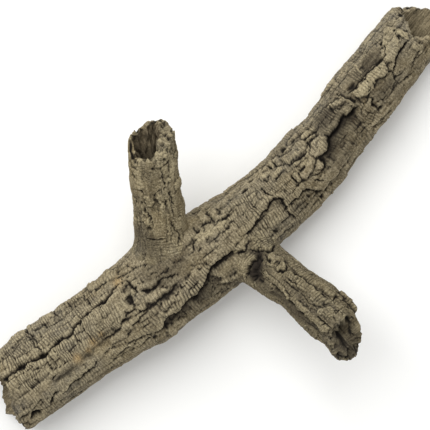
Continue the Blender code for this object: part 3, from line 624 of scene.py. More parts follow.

# Colours of cork. Each bark has its name, body, grey and the pale tan of its blotches and crests, which
# also paints their highlight, and its strips round the limb.
BARKS = (
    ("weathered cork bark", "#7b6c4e", "#66625a", "#ab9e80", 42),
    ("tan cork bark", "#796a4b", "#665f50", "#a79a79", 28),
    ("dark cork bark", "#695d45", "#595348", "#998d6f", 28),
)
INNER_CORK, BROKEN_CORK, CRUMB_SHADE = ("#9d9073", "#5a503e"), ("#7d715a", "#4c4335"), "#2c261e"
# The pale tan is the bark's own pale tone and also the painted highlight on the lips of ledges.
SMOOTH_TAN, PALE_TAN_AND_HIGHLIGHT, FRESH_CORK, DUST = "#8a7a55", "#b3a684", "#b0966a", "#b9ae92"
# The rib gap colour is partly dirt and partly painted shade in the grooves between ribs.
PORE, THREAD, RIB_GAP_DIRT_AND_SHADE = "#3a3329", "#3f382c", "#272219"
# The crevice colour is painted shade in the cracks; the weathered brown is the bark's own dark tone and
# also the painted shade of its hollows, forks and ledges.
WEATHERED_AND_PAINTED_SHADE, CREVICE_PAINTED_SHADE = "#2e2821", "#1a1611"
# Finish of bark and of broken cork: height of the fine surface, roughness and specular level.
BARK_FINISH, BROKEN_FINISH = (1.3, 0.93, 0.2), (1.2, 0.95, 0.15)

# Kinds of node that the materials use often.
MATH, RANGE, ATTRIBUTE = "ShaderNodeMath", "ShaderNodeMapRange", "ShaderNodeAttribute"
RANDOM = "ShaderNodeTexWhiteNoise"

# Depths and heights beside the blurred surface at which each mark is at its full strength: the painted
# shade of cracks, the painted shade of hollows, and the painted highlight of crests.
CREVICE_DEPTHS, SHADE_DEPTHS, CREST_HEIGHTS = (1.3, 4.5), (4, 6), (0.8, 3)

# Small fresh patches where the outer bark has rubbed off.
RUBBED_SPOTS = ((-203, 16, 5.0), (-190, 15, 3.0), (-181, 18, 4.5), (-170, 19, 3.0), (-125, 48, 4.5))


class Limb:
    """A bent round limb: its middle line, and the frame that goes round it."""

    def __init__(self, stations, cracks, lobes, pits, grounds, fillet=FILLET):
        self.fillet = fillet
        self.line = self.through(np.array(stations, float), 500)
        steps = np.linalg.norm(np.diff(self.line[:, :3], axis=0), axis=1)
        self.along = np.concatenate([[0.0], np.cumsum(steps)])
        run = np.gradient(self.line[:, :3], axis=0)
        self.run = run / np.linalg.norm(run, axis=1)[:, None]
        left = np.cross([0.0, 0.0, 1.0], self.run)
        self.left = left / np.linalg.norm(left, axis=1)[:, None]
        self.up = np.cross(self.run, self.left)
        self.cracks = [(*(*crack[:-1], 0, 0)[:4], self.placed(crack[-1])) for crack in cracks]
        self.lobes = [(*lobe[:4], self.placed(lobe[4])) for lobe in lobes]
        self.pits = [(self.placed([pit[:2]])[0], *pit[2:]) for pit in pits]
        self.grounds = [(self.placed([ground[:2]])[0], *ground[2:]) for ground in grounds]

    @staticmethod
    def through(stations, count):
        """Points on a smooth curve through the stations (Catmull-Rom)."""
        ends = 2 * stations[0] - stations[1], 2 * stations[-1] - stations[-2]
        points = np.vstack([ends[0], stations, ends[1]])
        spot = np.linspace(0, len(stations) - 1, count)
        first = np.minimum(spot.astype(int), len(stations) - 2)
        t = (spot - first)[:, None]
        a, b, c, d = (points[first + k] for k in range(4))
        return 0.5 * (
            2 * b + (c - a) * t + (2 * a - 5 * b + 4 * c - d) * t**2 + (3 * b - a - 3 * c + d) * t**3
        )

    def at(self, rows, where):
        """Values of a row table at distances along the limb."""
        return np.stack([np.interp(where, self.along, column) for column in rows.T], axis=-1)

    def radius(self, where):
        """Radius of the plain round form at distances along the limb."""
        return np.interp(where, self.along, self.line[:, 3])

    def point(self, where, angle, radial):
        """Points at a distance along, an angle round and a distance out from the middle."""
        out = np.cos(angle)[..., None] * self.at(self.up, where)
        out = out + np.sin(angle)[..., None] * self.at(self.left, where)
        return self.at(self.line[:, :3], where) + radial[..., None] * out

    def placed(self, seen):
        """Routes seen from above, as distance along the limb and distance round it."""
        where, angle = np.meshgrid(
            np.linspace(0, self.along[-1], 700), np.radians(np.linspace(-100, 100, 201))
        )
        skin = self.point(where, angle, self.radius(where))
        eye = np.array(EYE)
        reach = (eye[2] - READING_HEIGHT) / (eye[2] - skin[..., 2])
        shown = eye[:2] + (skin[..., :2] - eye[:2]) * reach[..., None]
        found = []
        for place in seen:
            nearest = np.argmin(((shown - place) ** 2).sum(axis=-1) - 1e-4 * skin[..., 2])
            found.append((where.flat[nearest], angle.flat[nearest] * self.radius(where.flat[nearest])))
        return np.array(found)

    def clearance(self, places):
        """How far places are outside the limb's plain round form."""
        flat = places.reshape(-1, 3)
        nearest = np.full(len(flat), np.inf)
        for middle in self.line[::3]:
            nearest = np.minimum(nearest, np.linalg.norm(flat - middle[:3], axis=1) - middle[3])
        return nearest.reshape(places.shape[:-1])


def route_distance(route, where, across, reach):
    """Distance of each point to a route, whether it lies to its right, and how far from its ends."""
    shape = where.shape
    nearest, right, from_end = np.full(shape, np.inf), np.zeros(shape, bool), np.zeros(shape)
    low, high = route.min(axis=0) - reach, route.max(axis=0) + reach
    near = (where > low[0]) & (where < high[0]) & (across > low[1]) & (across < high[1])
    along, round_at = where[near], across[near]
    best = np.full(along.shape, np.inf)
    best_right, best_run = np.zeros(along.shape, bool), np.zeros(along.shape)
    length = 0.0
    for start, end in zip(route[:-1], route[1:]):
        step = end - start
        share = ((along - start[0]) * step[0] + (round_at - start[1]) * step[1]) / (step @ step)
        share = np.clip(share, 0, 1)
        off = along - start[0] - share * step[0], round_at - start[1] - share * step[1]
        distance = np.hypot(*off)
        closer = distance < best
        best[closer] = distance[closer]
        best_right[closer] = (step[0] * off[1] - step[1] * off[0] < 0)[closer]
        best_run[closer] = (length + share * np.linalg.norm(step))[closer]
        length += np.linalg.norm(step)
    nearest[near], right[near] = best, best_right
    from_end[near] = np.minimum(best_run, length - best_run)
    return nearest, right, from_end


def straightened(limb, where, angle, along, around):
    """Places on the limb as if it were straight, for patterns that follow the grain."""
    radius = limb.radius(where)
    flat = np.stack(
        [where / along, radius * np.cos(angle) / around, radius * np.sin(angle) / around], axis=-1
    )
    return [Vector(place) for place in flat.reshape(-1, 3)]


def sampled(kind, places, shape):
    """A noise's value at every place."""
    return np.array([kind(place) for place in places]).reshape(shape)


def cells(limb, where, angle, scale, wander=0.0):
    """Cell pattern of the bark: how far inside its cell and from its centre each place is, and the
    cell's own level."""
    places = straightened(limb, where, angle, *scale)
    if wander:
        places = [p + wander * noise.noise_vector(2.5 * p) for p in places]
    found = [noise.voronoi(p) for p in places]
    inside = np.array([near[1] - near[0] for near, _ in found]).reshape(where.shape)
    centre = np.array([near[0] for near, _ in found]).reshape(where.shape)
    level = np.array([noise.cell(middle[0] * 7.0) for _, middle in found]).reshape(where.shape)
    return inside, centre, level


def ground_strengths(limb, where, across):
    """Strength of ribs, knobs and smoothness at each place, and its tone."""
    total = np.full(where.shape, ELSEWHERE_WEIGHT)
    strengths = [total * level for level in ELSEWHERE]
    for (middle, round_at), reach_along, reach_round, *levels in limb.grounds:
        off = ((where - middle) / reach_along) ** 2 + ((across - round_at) / reach_round) ** 2
        weight = np.exp(-(off**2))
        total = total + weight
        strengths = [kind + weight * level for kind, level in zip(strengths, levels)]
    return [kind / total for kind in strengths]


def large_relief(limb, where, angle):
    """The swells and plates that the solids have too."""
    swell = sampled(
        lambda p: noise.fractal(p, 1.0, 2.0, 2), straightened(limb, where, angle, *SWELL_SCALE),
        where.shape,
    )
    inside, _, level = cells(limb, where, angle, PLATE_SCALE)
    groove = PLATE_GROOVE * np.clip(1 - inside / GROOVE_SHARE, 0, 1)
    hidden = np.clip(HAND_PLACED_SIDE - np.cos(angle), PLATES_THERE, 1)
    return SWELL * swell + hidden * (2 * PLATE_STEP * (level - 0.5) - groove)


def placed_relief(limb, where, across, uneven):
    """The splits, ledges, lobes and pits that were placed one by one, and their tone."""
    height, tone = np.zeros(where.shape), np.zeros(where.shape)
    for width, tall, edge, shade, route in limb.lobes:
        distance, _, _ = route_distance(route, where, across, width)
        inside = np.clip(1 - (distance / (width * (0.2 + 0.38 * uneven))) ** 2, 0, 1)
        lobe = tall * np.clip(1.3 * inside, 0, 1) ** edge * (0.45 + 0.6 * uneven)
        height = np.maximum(height, 0.85 * lobe) + 0.2 * lobe
        tone += shade * np.clip(2 * inside, 0, 1)
    for (middle, round_at), reach_along, reach_round, deep in limb.pits:
        off = ((where - middle) / reach_along) ** 2 + ((across - round_at) / reach_round) ** 2
        height = height - deep * np.exp(-(off**2))
    for width, depth, drop, fade, route in limb.cracks:
        reach = 2 * width + 4 * fade * bool(drop)
        distance, right, from_end = route_distance(route, where, across, reach)
        opening = np.clip(0.35 + from_end / CRACK_TAPER, 0, 1) * uneven
        sides = distance / (CRACK_WIDTH * width * np.clip(opening, 0.3, 1.4))
        height = height - depth * opening / (1 + sides**2) ** 2
        if drop:
            fading = np.clip(from_end / CRACK_TAPER, 0, 1)
            low_side = np.where(right == (drop > 0), distance, -distance)
            step = np.clip(0.5 + low_side, 0, 1)
            height = height - abs(drop) * fading * step * np.exp(-np.maximum(low_side, 0) / fade)
            lip = np.exp(-((low_side + LIP_REACH) ** 2) / LIP_REACH**2) * (1 - step)
            height = height + LIP_SHARE * abs(drop) * fading * lip
            # Painted shadow on the low side under each ledge, and a faint painted highlight on its lip,
            # laid into the tone.
            under = step * np.exp(-np.maximum(low_side, 0) / (2 + abs(drop)))
            tone += abs(drop) * fading * (0.03 * lip - 0.11 * under)
    return height, tone


def shuffled(*indices):
    """A steady random number from 0 to 1 for each set of whole numbers."""
    mixed_up = sum(index * step for index, step in zip(indices, (12.9898, 78.233)))
    return np.modf(np.abs(np.sin(mixed_up + 4.1) * 43758.5453))[0]


def blocks(limb, where, angle, wander, jitter):
    """Rough rectangular blocks of bark in rows along the limb: level, and the cracks round them."""
    around = round(2 * math.pi * limb.line[:, 3].mean() / BLOCK_WIDTH)
    rows = around * (angle / (2 * math.pi) + 0.5) + 0.9 * wander + 0.16 * jitter[..., 0]
    row = np.floor(rows) % around
    along = where / BLOCK_LENGTH + 7 * shuffled(row) + 0.5 * wander + 0.14 * jitter[..., 1]
    block = np.floor(along)
    side, end = rows % 1, along % 1
    level = shuffled(row, block) - 0.5
    tilt = (end - 0.5) * (shuffled(row + 31, block) - 0.3)
    tilt = tilt + (side - 0.5) * (shuffled(row, block + 57) - 0.3)
    to_side = np.minimum(side, 1 - side) * BLOCK_WIDTH
    to_end = np.minimum(end, 1 - end) * BLOCK_LENGTH
    crack = np.clip(1 - to_side / SIDE_CRACK_REACH, 0, 1)
    crack = np.maximum(crack, 0.8 * np.clip(1 - to_end / END_CRACK_REACH, 0, 1))
    return BLOCK_LEVEL * level + BLOCK_TILT * tilt, crack


def fine_relief(limb, where, angle, grounds, jitter):
    """Blocks, knobs and roughness of the bark."""
    shape = where.shape
    ribs, knobs, smooth, _ = grounds
    rough = 1 - 0.85 * smooth

    wander = sampled(noise.noise, straightened(limb, where, angle, 34.0, 24.0), shape)
    patchy = sampled(noise.noise, straightened(limb, where, angle, 21.0, 13.0), shape)
    level, crack = blocks(limb, where, angle, 0.7 * wander, 0.6 * jitter)
    open_share = np.clip(0.5 + 1.8 * patchy, 0, 1.2)
    height = (1 - 0.6 * knobs) * rough * (level - BLOCK_CRACK * open_share * crack)

    knob_inside, knob_centre, _ = cells(limb, where, angle, KNOB_SCALE, wander=0.45)
    dome = np.sqrt(np.clip(1 - (knob_centre / 0.8) ** 2, 0, 1)) - 0.5
    height += KNOB_HEIGHT * knobs * dome * np.clip(knob_inside / 0.15, 0, 1)

    for scale, tall in ROUGHNESS_SCALES:
        grain = sampled(noise.noise, straightened(limb, where, angle, 1.2 * scale, scale), shape)
        height += tall * (0.35 + 0.45 * rough - 0.4 * ribs + 0.8 * knobs) * grain
    return height


def bark(limb, where, angle, others):
    """Height of the bark over the plain round form, with the marks its material reads."""
    across = angle * limb.radius(where)
    wander = np.zeros((*where.shape, 2))
    for scale, reach in EDGE_WANDERS:
        places = straightened(limb, where, angle, scale, scale)
        shifts = np.array([noise.noise_vector(p)[:2] for p in places])
        wander += reach * shifts.reshape(*where.shape, 2)
    uneven = 0.8 + 0.7 * sampled(noise.noise, straightened(limb, where, angle, 13, 13), where.shape)

    grounds = ground_strengths(limb, where, across)
    ribs, _, smooth, tone = grounds
    placed, lobe_tone = placed_relief(limb, where + wander[..., 0], across + wander[..., 1], uneven)
    height = large_relief(limb, where, angle) + placed
    height = np.maximum(height + fine_relief(limb, where, angle, grounds, wander) - TRIM, -DEEPEST)
    skin = limb.point(where, angle, limb.radius(where) + height)
    for other in others:
        fillet = min(limb.fillet, other.fillet)
        near = np.clip(1 - np.maximum(other.clearance(skin), 0) / fillet, 0, 1)
        height = height + fillet / 4 * near**2
    return height, ribs, smooth, tone + lobe_tone


def blurred(height, cells_wide):
    """The height smoothed over a few cells each way, round the limb without a seam."""
    body = height[:, :-1]
    for axis, edge in ((1, "wrap"), (0, "edge")):
        pads = [(0, 0), (0, 0)]
        pads[axis] = (cells_wide, cells_wide)
        padded = np.pad(body, pads, mode=edge)
        count = body.shape[axis]
        body = sum(np.take(padded, range(k, k + count), axis=axis) for k in range(2 * cells_wide + 1))
        body = body / (2 * cells_wide + 1)
    return np.hstack([body, body[:, :1]])


def rim(knots, angle):
    """Where a limb breaks off at each angle round it."""
    return np.interp(np.degrees(angle), *zip(*knots))


def turn(count):
    """Angles once round a limb, from underneath to underneath, closest together on top."""
    share = np.linspace(-1, 1, count + 1)
    return np.pi * share - UPPER_SIDE_FINENESS * np.sin(np.pi * share)


class Rows:
    """The rings of a piece in order, each with the marks that its material reads."""

    MARKS = ("crevice_shade", "shade", "pale_and_highlight", "ribs", "smooth", "tone", "rubbed")

    def __init__(self):
        self.places, self.grain, self.marks, self.inner = [], [], [], []

    def add(self, limb, where, angle, radial, inner, marks=None):
        """Add a ring, kept above the floor, whose last point is its first."""
        ring = limb.point(where, angle, radial)
        ring[:, 2] = np.maximum(ring[:, 2], 0)
        ring[-1] = ring[0]
        radius = limb.radius(where)
        self.places.append(ring)
        self.grain.append(np.stack([where, radius * np.cos(angle), radius * np.sin(angle)], axis=-1))
        self.marks.append(np.zeros((len(angle), len(self.MARKS))) if marks is None else marks)
        self.inner.append(inner)


def piece(name, rows, materials):
    """A closed piece: a flat grid whose rows become the given rings, with its seams merged."""
    along, around = len(rows.places) - 1, len(rows.places[0]) - 1
    bm = bmesh.new()
    bmesh.ops.create_grid(bm, x_segments=around, y_segments=along, size=0.5)
    places = (np.concatenate(rows.places) - FOOTPRINT_MIDDLE) * MM
    grain, marks = np.concatenate(rows.grain) * MM, np.concatenate(rows.marks)
    grain_layer = bm.verts.layers.float_vector.new("grain_place")
    layers = [bm.verts.layers.float.new(mark) for mark in rows.MARKS]
    for vertex, place, grain_place, values in zip(bm.verts, places, grain, marks):
        vertex.co = place
        vertex[grain_layer] = grain_place
        for layer, value in zip(layers, values):
            vertex[layer] = value
    for face in bm.faces:
        row = min(vertex.index for vertex in face.verts) // (around + 1)
        face.material_index = int(rows.inner[row])
        face.smooth = True
    bmesh.ops.remove_doubles(bm, verts=bm.verts, dist=SAME_PLACE)
    bmesh.ops.recalc_face_normals(bm, faces=bm.faces)
    mesh = bpy.data.meshes.new(name)
    bm.to_mesh(mesh)
    bm.free()
    obj = bpy.data.objects.new(name, mesh)
    bpy.context.scene.collection.objects.link(obj)
    for material in materials:
        mesh.materials.append(material)
    return obj


def outer_rows(rows, limb, start, end, angle, count, others):
    """The bark's rings from start to end."""
    share = np.linspace(0, 1, count + 1)[:, None]
    where = start + (end - start) * share
    angles = np.broadcast_to(angle, where.shape)
    height, ribs, smooth, tone = bark(limb, where, angles, others)
    near, far, broad = (blurred(height, reach) for reach in (2, 5, 10))
    # Painted shade in the cracks: darker the deeper the bark lies below its blurred self.
    crevice_shade = np.clip((near - height) / CREVICE_DEPTHS[0], 0, 1)
    crevice_shade = crevice_shade + np.clip((far - height) / CREVICE_DEPTHS[1], 0, 1)
    # Painted shade in the broad hollows and beside the ledges.
    shade = np.clip((far - height) / SHADE_DEPTHS[0], 0, 0.6)
    shade = shade + np.clip((broad - height) / SHADE_DEPTHS[1], 0, 0.7)
    # Painted highlight on the crests: lighter the higher the bark stands above its blurred self.
    pale_and_highlight = np.clip((height - near) / CREST_HEIGHTS[0], 0, 0.7)
    pale_and_highlight = pale_and_highlight + np.clip((height - far) / CREST_HEIGHTS[1], 0, 0.5)
    skin = limb.point(where, angles, limb.radius(where) + height)
    seen = skin[..., :2]
    rubbed = np.zeros(where.shape)
    for x, y, reach in RUBBED_SPOTS:
        off = np.linalg.norm(seen - (x, y), axis=-1) / reach
        rubbed = np.maximum(rubbed, np.exp(-(off**2)) * (skin[..., 2] > READING_HEIGHT))
    marks = [np.clip(crevice_shade, 0, 1), np.clip(shade, 0, 1), pale_and_highlight, ribs, smooth, tone, rubbed]
    marks = np.stack(marks, axis=-1)
    for row in range(count + 1):
        rows.add(limb, where[row], angle, limb.radius(where[row]) + height[row], False, marks[row])
    return height


def broken_edge(rows, limb, end, angle, outer, inner, outward, dish=0.0, tone=0.0):
    """The rough broken face from the outer skin inwards, at one end of a limb."""
    count = max(BREAK_ROWS, round(np.abs(outer - inner).mean() / 1.6))
    for share in np.linspace(0, 1, count + 2)[1:-1]:
        radial = outer + (inner - outer) * share
        across, up = radial * np.sin(angle), radial * np.cos(angle)
        lumps, jagged, layers = (
            np.array([noise.noise(Vector((a / scale, b / scale, depth))) for a, b in zip(across, up)])
            for scale, depth in ((6.0, end.mean()), (3.0, 3.0), (12.0, 9.0))
        )
        tall = min(0.5 * np.abs(outer - inner).max(), 7) * min(1, 3 * share)
        layers = np.sin(radial * 2.2 + 5 * layers)
        marks = np.zeros((len(angle), len(Rows.MARKS)))
        # Painted shade in the low lumps of the broken face and painted highlight on the high ones.
        marks[:, Rows.MARKS.index("crevice_shade")] = np.clip(-2.5 * lumps - 1.5 * jagged - 0.3 * layers, 0, 1)
        marks[:, Rows.MARKS.index("pale_and_highlight")] = np.clip(1.5 * lumps + jagged, 0, 0.7)
        marks[:, Rows.MARKS.index("tone")] = tone * min(1, 3 * share)
        rise = tall * lumps + 2.0 * jagged - dish * math.sin(math.pi / 2 * share)
        rows.add(limb, end + outward * rise, angle, radial, False, marks)


def inside_relief(limb, where, angle, lumpy=0.0):
    """The grain of the inner face of the bark, and the lumps in a rotted end."""
    shape = angle.shape
    waves = sampled(noise.noise, straightened(limb, where, angle, 60.0, 9.0), shape)
    grain = np.abs(sampled(noise.noise, straightened(limb, where, angle, 50.0, 2.6), shape))
    lumps = sampled(noise.noise, straightened(limb, where, angle, 6.0, 5.0), shape)
    return 1.6 * waves - 0.8 * np.clip(1 - grain / 0.15, 0, 1) + lumpy * lumps


def main_limb(limb, others, materials):
    """The main limb's bark, its two broken ends and the bore between them."""
    rows = Rows()
    angle = turn(MAIN_AROUND)
    start, end = (
        np.interp(rim(knots, angle), limb.line[:, 0], limb.along) for knots in (BASE_RIM, TIP_RIM)
    )
    jagged = np.array([noise.noise(Vector((math.cos(a) * 7, math.sin(a) * 7, 0))) for a in angle])
    start, end = start + MAIN_RAGGED * jagged, end + MAIN_RAGGED * jagged
    height = outer_rows(rows, limb, start, end, angle, MAIN_ALONG, others)
    bore = limb.radius(end) - MAIN_WALL
    broken_edge(rows, limb, end, angle, limb.radius(end) + height[-1], bore, 1)
    for share in np.linspace(1, 0, INSIDE_ROWS + 1):
        where = start + (end - start) * share
        radial = limb.radius(where) - MAIN_WALL + inside_relief(limb, where, angle)
        rows.add(limb, where, angle, radial, True)
    bore = limb.radius(start) - MAIN_WALL
    skin = limb.radius(start) + height[0]
    broken_edge(rows, limb, start, angle, bore, skin, -1, tone=BASE_FACE_TONE)
    rows.places.append(rows.places[0])
    rows.grain.append(rows.grain[0])
    rows.marks.append(rows.marks[0])
    rows.inner.append(True)
    return piece("main_limb_bark", rows, materials)


def root_start(limb, host, angle, radial):
    """How far out a side branch's lines come to the inside of the host's wall."""
    where = np.arange(0, 90, 0.5)[:, None] + np.zeros(angle.shape)
    places = limb.point(where, np.broadcast_to(angle, where.shape), np.broadcast_to(radial, where.shape))
    outside = host.clearance(places) > -ROOT_DEPTH
    return where[np.argmax(outside, axis=0), 0]


def side_branch(name, limb, host, knots, materials, hollow=None):
    """A side branch, from inside the host's wall to its broken end, which is hollow or closed."""
    rows = Rows()
    angle = turn(SIDE_AROUND)
    for share in (0.0, 0.3, 0.6, 0.85):
        radial = share * limb.radius(np.full(angle.shape, 30.0))
        rows.add(limb, root_start(limb, host, angle, radial), angle, radial, True)
    start = root_start(limb, host, angle, limb.radius(np.full(angle.shape, 40.0)))
    jagged = np.array([noise.noise(Vector((math.cos(a) * 6, math.sin(a) * 6, 5.0))) for a in angle])
    end = rim(knots, angle) + SIDE_RAGGED * jagged
    height = outer_rows(rows, limb, start, end, angle, SIDE_ALONG, [host])
    skin = limb.radius(end) + height[-1]
    if not hollow:
        broken_edge(
            rows, limb, end, angle, skin, 0 * skin, 1, dish=LOWER_DISH, tone=LOWER_FACE_TONE
        )
        rows.add(limb, 0 * angle + end.mean() - LOWER_DISH, angle, 0 * skin, False)
        return piece(name, rows, materials)
    wall, depth, aside, lumpy = hollow
    opening = limb.radius(end) - wall + aside * np.sin(angle)
    broken_edge(rows, limb, end, angle, skin, opening, 1)
    floor = end.min() - depth
    for share in np.concatenate([np.linspace(0, 1, INSIDE_ROWS // 2), np.linspace(1.2, 2, 5)]):
        where = end + (floor - end) * min(share, 1)
        narrowing = 1 - HOLLOW_TAPER * min(share, 1)
        radial = opening * narrowing + inside_relief(limb, where, angle, lumpy)
        rows.add(limb, where, angle, radial * (2 - max(share, 1)), True)
    return piece(name, rows, materials)


def linear(hex_colour):
    """An sRGB hex colour as linear red, green, blue and alpha."""
    channels = [int(hex_colour[k : k + 2], 16) / 255 for k in (1, 3, 5)]
    return (*(c / 12.92 if c <= 0.04045 else ((c + 0.055) / 1.055) ** 2.4 for c in channels), 1)


def add_node(tree, kind, inputs=(), output=0, **settings):
    """One output of a new node with its settings and inputs.

    The inputs are in the node's order, or by name or number; each is a value or an output.
    """
    node = tree.nodes.new(kind)
    for setting, value in settings.items():
        setattr(node, setting, value)
    for socket, value in inputs.items() if isinstance(inputs, dict) else enumerate(inputs):
        if isinstance(value, bpy.types.NodeSocket):
            tree.links.new(value, node.inputs[socket])
        else:
            node.inputs[socket].default_value = value
    return node.outputs[output]


def mottle(node, grain, size_mm, stretch=1.0, detail=4.0, roughness=0.6):
    """Noise at a real size, drawn out along the grain by the stretch."""
    place = node("ShaderNodeMapping", {"Vector": grain, "Scale": (1 / stretch, 1, 1)})
    scale = 1 / (size_mm * MM)
    inputs = {"Vector": place, "Scale": scale, "Detail": detail, "Roughness": roughness}
    return node("ShaderNodeTexNoise", inputs)


def layered(node, colour, layers):
    """A colour under tints, each laid on as a value goes from low to high, up to its most."""
    for value, low, high, most, tint in layers:
        share = node(RANGE, {"Value": value, "From Min": low, "From Max": high, "To Max": most})
        inputs = {0: share, 6: colour, 7: linear(tint)}
        colour = node("ShaderNodeMix", inputs, output=2, data_type="RGBA")
    return colour


def woven(node, grain, strip_count):
    """Ribs across the grain, broken into lengthwise strips: the lines between them, and each
    small block's own random number."""
    x, y, z = node("ShaderNodeSeparateXYZ", {"Vector": grain}, output=slice(None))
    bend = node(MATH, (mottle(node, grain, BEND_SIZE, detail=2), 0.5), operation="SUBTRACT")
    fray = node(MATH, (mottle(node, grain, FRAY_SIZE, detail=2), 0.5), operation="SUBTRACT")
    turned = node(MATH, (z, y), operation="ARCTAN2")
    strip = node(MATH, (bend, STRIP_BEND), operation="MULTIPLY")
    strip = node(MATH, (turned, strip_count / (2 * math.pi), strip), operation="MULTIPLY_ADD")
    strip = node(MATH, (fray, STRIP_FRAY, strip), operation="MULTIPLY_ADD")
    row = node(MATH, (strip,), operation="FLOOR")
    shift = node(RANDOM, {"W": row}, noise_dimensions="1D")
    rib = node(MATH, (bend, RIB_BEND), operation="MULTIPLY")
    rib = node(MATH, (x, 1 / (RIB_PITCH * MM), rib), operation="MULTIPLY_ADD")
    rib = node(MATH, (shift, RIB_SHIFT, rib), operation="MULTIPLY_ADD")
    rib = node(MATH, (fray, RIB_FRAY, rib), operation="MULTIPLY_ADD")
    number = node(MATH, (rib,), operation="FLOOR")
    own = node(RANDOM, {"Vector": node("ShaderNodeCombineXYZ", {"X": row, "Y": number})})
    strength = node(RANDOM, {"W": number}, noise_dimensions="1D")
    lines = []
    for pattern, random, low, high, gain, least in (
        (rib, strength, 0.2, 0.42, 0.6, 0.5),
        (strip, shift, 0.4, 0.49, 0.8, 0.2),
    ):
        edge = node(MATH, (pattern,), operation="FRACT")
        edge = node(MATH, (edge, 0.5), operation="SUBTRACT")
        edge = node(MATH, (edge,), operation="ABSOLUTE")
        edge = node(RANGE, {"Value": edge, "From Min": low, "From Max": high})
        strong = node(MATH, (random, gain, least), operation="MULTIPLY_ADD")
        lines.append(node(MATH, (edge, strong), operation="MULTIPLY"))
    return node(MATH, lines, operation="MAXIMUM"), own


def weathered_bark(node, grain, body, grey, pale_and_highlight, strip_count):
    """Weathered bark: dusty and porous, ribbed across, with painted highlight on its crests and painted
    shade in its cracks and hollows.
    """
    marks = {mark: node(ATTRIBUTE, output="Fac", attribute_name=mark) for mark in Rows.MARKS}
    lines, own = woven(node, grain, strip_count)
    present = mottle(node, grain, 12, detail=3)
    present = node(RANGE, {"Value": present, "From Min": 0.36, "From Max": 0.6, "To Min": 0.4})
    ribs = node(MATH, (marks["ribs"], present), operation="MULTIPLY")
    lines = node(MATH, (lines, ribs), operation="MULTIPLY")
    block = node(MATH, (own, ribs), operation="MULTIPLY")
    patches = mottle(node, grain, 45, stretch=1.6, detail=2)
    blotches = mottle(node, grain, 9, stretch=1.3)
    speckle = mottle(node, grain, 1.8, detail=5, roughness=0.8)
    threads = mottle(node, grain, 1.5, stretch=0.3, detail=3)
    between_ribs = node(MATH, (ribs, -0.4, 0.8), operation="MULTIPLY_ADD")
    pores = node(RANGE, {"Value": speckle, "From Min": 0.52, "From Max": 0.38})
    pores = node(MATH, (pores, between_ribs), operation="MULTIPLY")
    # Tints from the marks include painted highlight on the crests, painted shade in the cracks, hollows,
    # forks and under ledges, and rib gaps that are partly dirt and partly painted shade.
    layers = (
        (patches, 0.38, 0.62, 1.0, body),
        (blotches, 0.42, 0.72, 1.0, pale_and_highlight),
        (block, 0.0, 1.0, 0.7, pale_and_highlight),
        (marks["smooth"], 0.0, 1.0, 0.5, SMOOTH_TAN),
        (marks["pale_and_highlight"], 0.0, 1.25, 1.0, pale_and_highlight),
        (marks["tone"], 0.0, 1.111, 1.0, PALE_TAN_AND_HIGHLIGHT),
        (marks["rubbed"], 0.0, 1.0, 1.0, FRESH_CORK),
        (pores, 0.0, 1.0, 0.95, PORE),
        (threads, 0.5, 0.36, 0.35, THREAD),
        (speckle, 0.53, 0.66, 0.75, DUST),
        (lines, 0.0, 0.909, 1.0, RIB_GAP_DIRT_AND_SHADE),
        (marks["tone"], 0.0, -0.87, 1.0, WEATHERED_AND_PAINTED_SHADE),
        (marks["shade"], 0.0, 1.176, 1.0, WEATHERED_AND_PAINTED_SHADE),
        (marks["crevice_shade"], 0.15, 0.9, 1.0, CREVICE_PAINTED_SHADE),
    )
    surface = node(MATH, (speckle, 0.8), operation="MULTIPLY")
    for value, tall in ((threads, 0.3), (block, 0.3), (lines, -0.9)):
        surface = node(MATH, (value, tall, surface), operation="MULTIPLY_ADD")
    return layered(node, linear(grey), layers), surface


def broken_cork(node, grain, body, dark):
    """Broken and inner cork: crumbly and brown, with streaks along the grain."""
    lengthwise = mottle(node, grain, 2.4, stretch=10)
    crumbs = mottle(node, grain, 2.0, detail=5, roughness=0.7)
    layers = (lengthwise, 0.35, 0.65, 1.0, body), (crumbs, 0.55, 0.35, 0.7, CRUMB_SHADE)
    surface = node(MATH, (crumbs, lengthwise), operation="ADD")
    return layered(node, linear(dark), layers), surface


def cork(name, pattern, finish, *details):
    """A material of dry, dull cork, whose pattern gives its colour and its fine surface."""
    relief_mm, roughness, specular = finish
    material = bpy.data.materials.new(name)
    material.use_nodes = True
    tree = material.node_tree
    node = partial(add_node, tree)
    grain = node(ATTRIBUTE, output="Vector", attribute_name="grain_place")
    colour, surface = pattern(node, grain, *details)
    bump = {"Height": surface, "Strength": 1.0, "Distance": relief_mm * MM}
    shader = tree.nodes["Principled BSDF"]
    tree.links.new(colour, shader.inputs["Base Color"])
    tree.links.new(node("ShaderNodeBump", bump), shader.inputs["Normal"])
    shader.inputs["Roughness"].default_value = roughness
    shader.inputs["Specular IOR Level"].default_value = specular
    return material


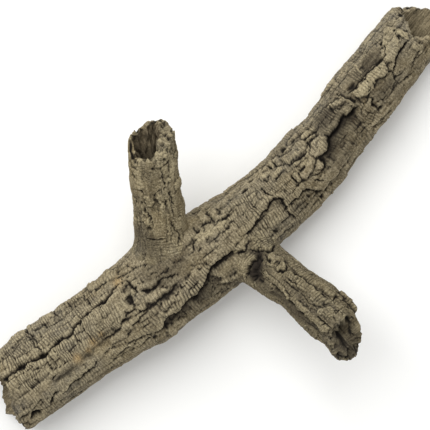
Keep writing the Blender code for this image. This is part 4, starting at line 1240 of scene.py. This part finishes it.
def floor_and_light():
    """A plain pale floor in a bright room, and a large soft light from the photograph's upper left."""
    bm = bmesh.new()
    bmesh.ops.create_grid(bm, x_segments=1, y_segments=1, size=FLOOR_REACH)
    mesh = bpy.data.meshes.new("floor")
    bm.to_mesh(mesh)
    bm.free()
    floor = bpy.data.objects.new("floor", mesh)
    bpy.context.scene.collection.objects.link(floor)
    paint = bpy.data.materials.new("matt white floor")
    paint.use_nodes = True
    shader = paint.node_tree.nodes["Principled BSDF"]
    shader.inputs["Base Color"].default_value = linear(FLOOR_COLOUR)
    shader.inputs["Roughness"].default_value = FLOOR_ROUGHNESS
    mesh.materials.append(paint)

    world = bpy.data.worlds.new("bright room")
    world.use_nodes = True
    world.node_tree.nodes["Background"].inputs["Color"].default_value = (1, 1, 1, 1)
    world.node_tree.nodes["Background"].inputs["Strength"].default_value = ROOM_BRIGHTNESS
    bpy.context.scene.world = world

    heading = math.radians(HEADING - LAMP_TURN)
    lamp_data = bpy.data.lights.new("soft key", "AREA")
    lamp_data.shape = "SQUARE"
    lamp_data.size = LAMP_SIZE
    lamp_data.energy = LAMP_WATTS
    lamp = bpy.data.objects.new("soft key", lamp_data)
    bpy.context.scene.collection.objects.link(lamp)
    lamp.location = (LAMP_AWAY * math.sin(heading), LAMP_AWAY * math.cos(heading), LAMP_HEIGHT)
    lamp.rotation_mode = "QUATERNION"
    lamp.rotation_quaternion = lamp.location.to_track_quat("Z", "Y")


def camera():
    """The camera of the photograph: straight down, with its top turned towards the heading."""
    data = bpy.data.cameras.new("camera")
    data.sensor_width = SENSOR
    data.lens = SENSOR * (EYE[2] - READING_HEIGHT) / PHOTO_WIDTH
    data.clip_end = FAR_CLIP
    obj = bpy.data.objects.new("camera", data)
    bpy.context.scene.collection.objects.link(obj)
    obj.location = (np.array(EYE) - FOOTPRINT_MIDDLE) * MM
    obj.rotation_euler = (0, 0, -math.radians(HEADING))
    bpy.context.scene.camera = obj


def main():
    main_line = Limb(MAIN_STATIONS, MAIN_CRACKS, MAIN_LOBES, MAIN_PITS, MAIN_GROUNDS)
    upper_line = Limb(UPPER_STATIONS, UPPER_CRACKS, UPPER_LOBES, UPPER_PITS, UPPER_GROUNDS)
    lower_line = Limb(LOWER_STATIONS, LOWER_CRACKS, LOWER_LOBES, LOWER_PITS, LOWER_GROUNDS, CREASE)

    inner = cork("inner cork", broken_cork, BROKEN_FINISH, *INNER_CORK)
    broken = cork("broken cork", broken_cork, BROKEN_FINISH, *BROKEN_CORK)
    main_bark, upper_bark, lower_bark = (
        cork(name, weathered_bark, BARK_FINISH, *details) for name, *details in BARKS
    )

    main_piece = main_limb(main_line, [upper_line, lower_line], [main_bark, inner])
    upper = side_branch(
        "upper_side_branch_bark", upper_line, main_line, UPPER_RIM, [upper_bark, broken],
        UPPER_HOLLOW,
    )
    lower = side_branch(
        "lower_side_branch_bark", lower_line, main_line, LOWER_RIM, [lower_bark, broken]
    )
    for made, node, slot in (
        (main_piece, "main_limb", "main_bark"),
        (upper, "upper_side_branch", "upper_bark"),
        (lower, "lower_side_branch", "lower_bark"),
    ):
        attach(made, "root")
        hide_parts(node)

    floor_and_light()
    camera()
    bpy.context.scene.view_settings.view_transform = "Standard"


main()
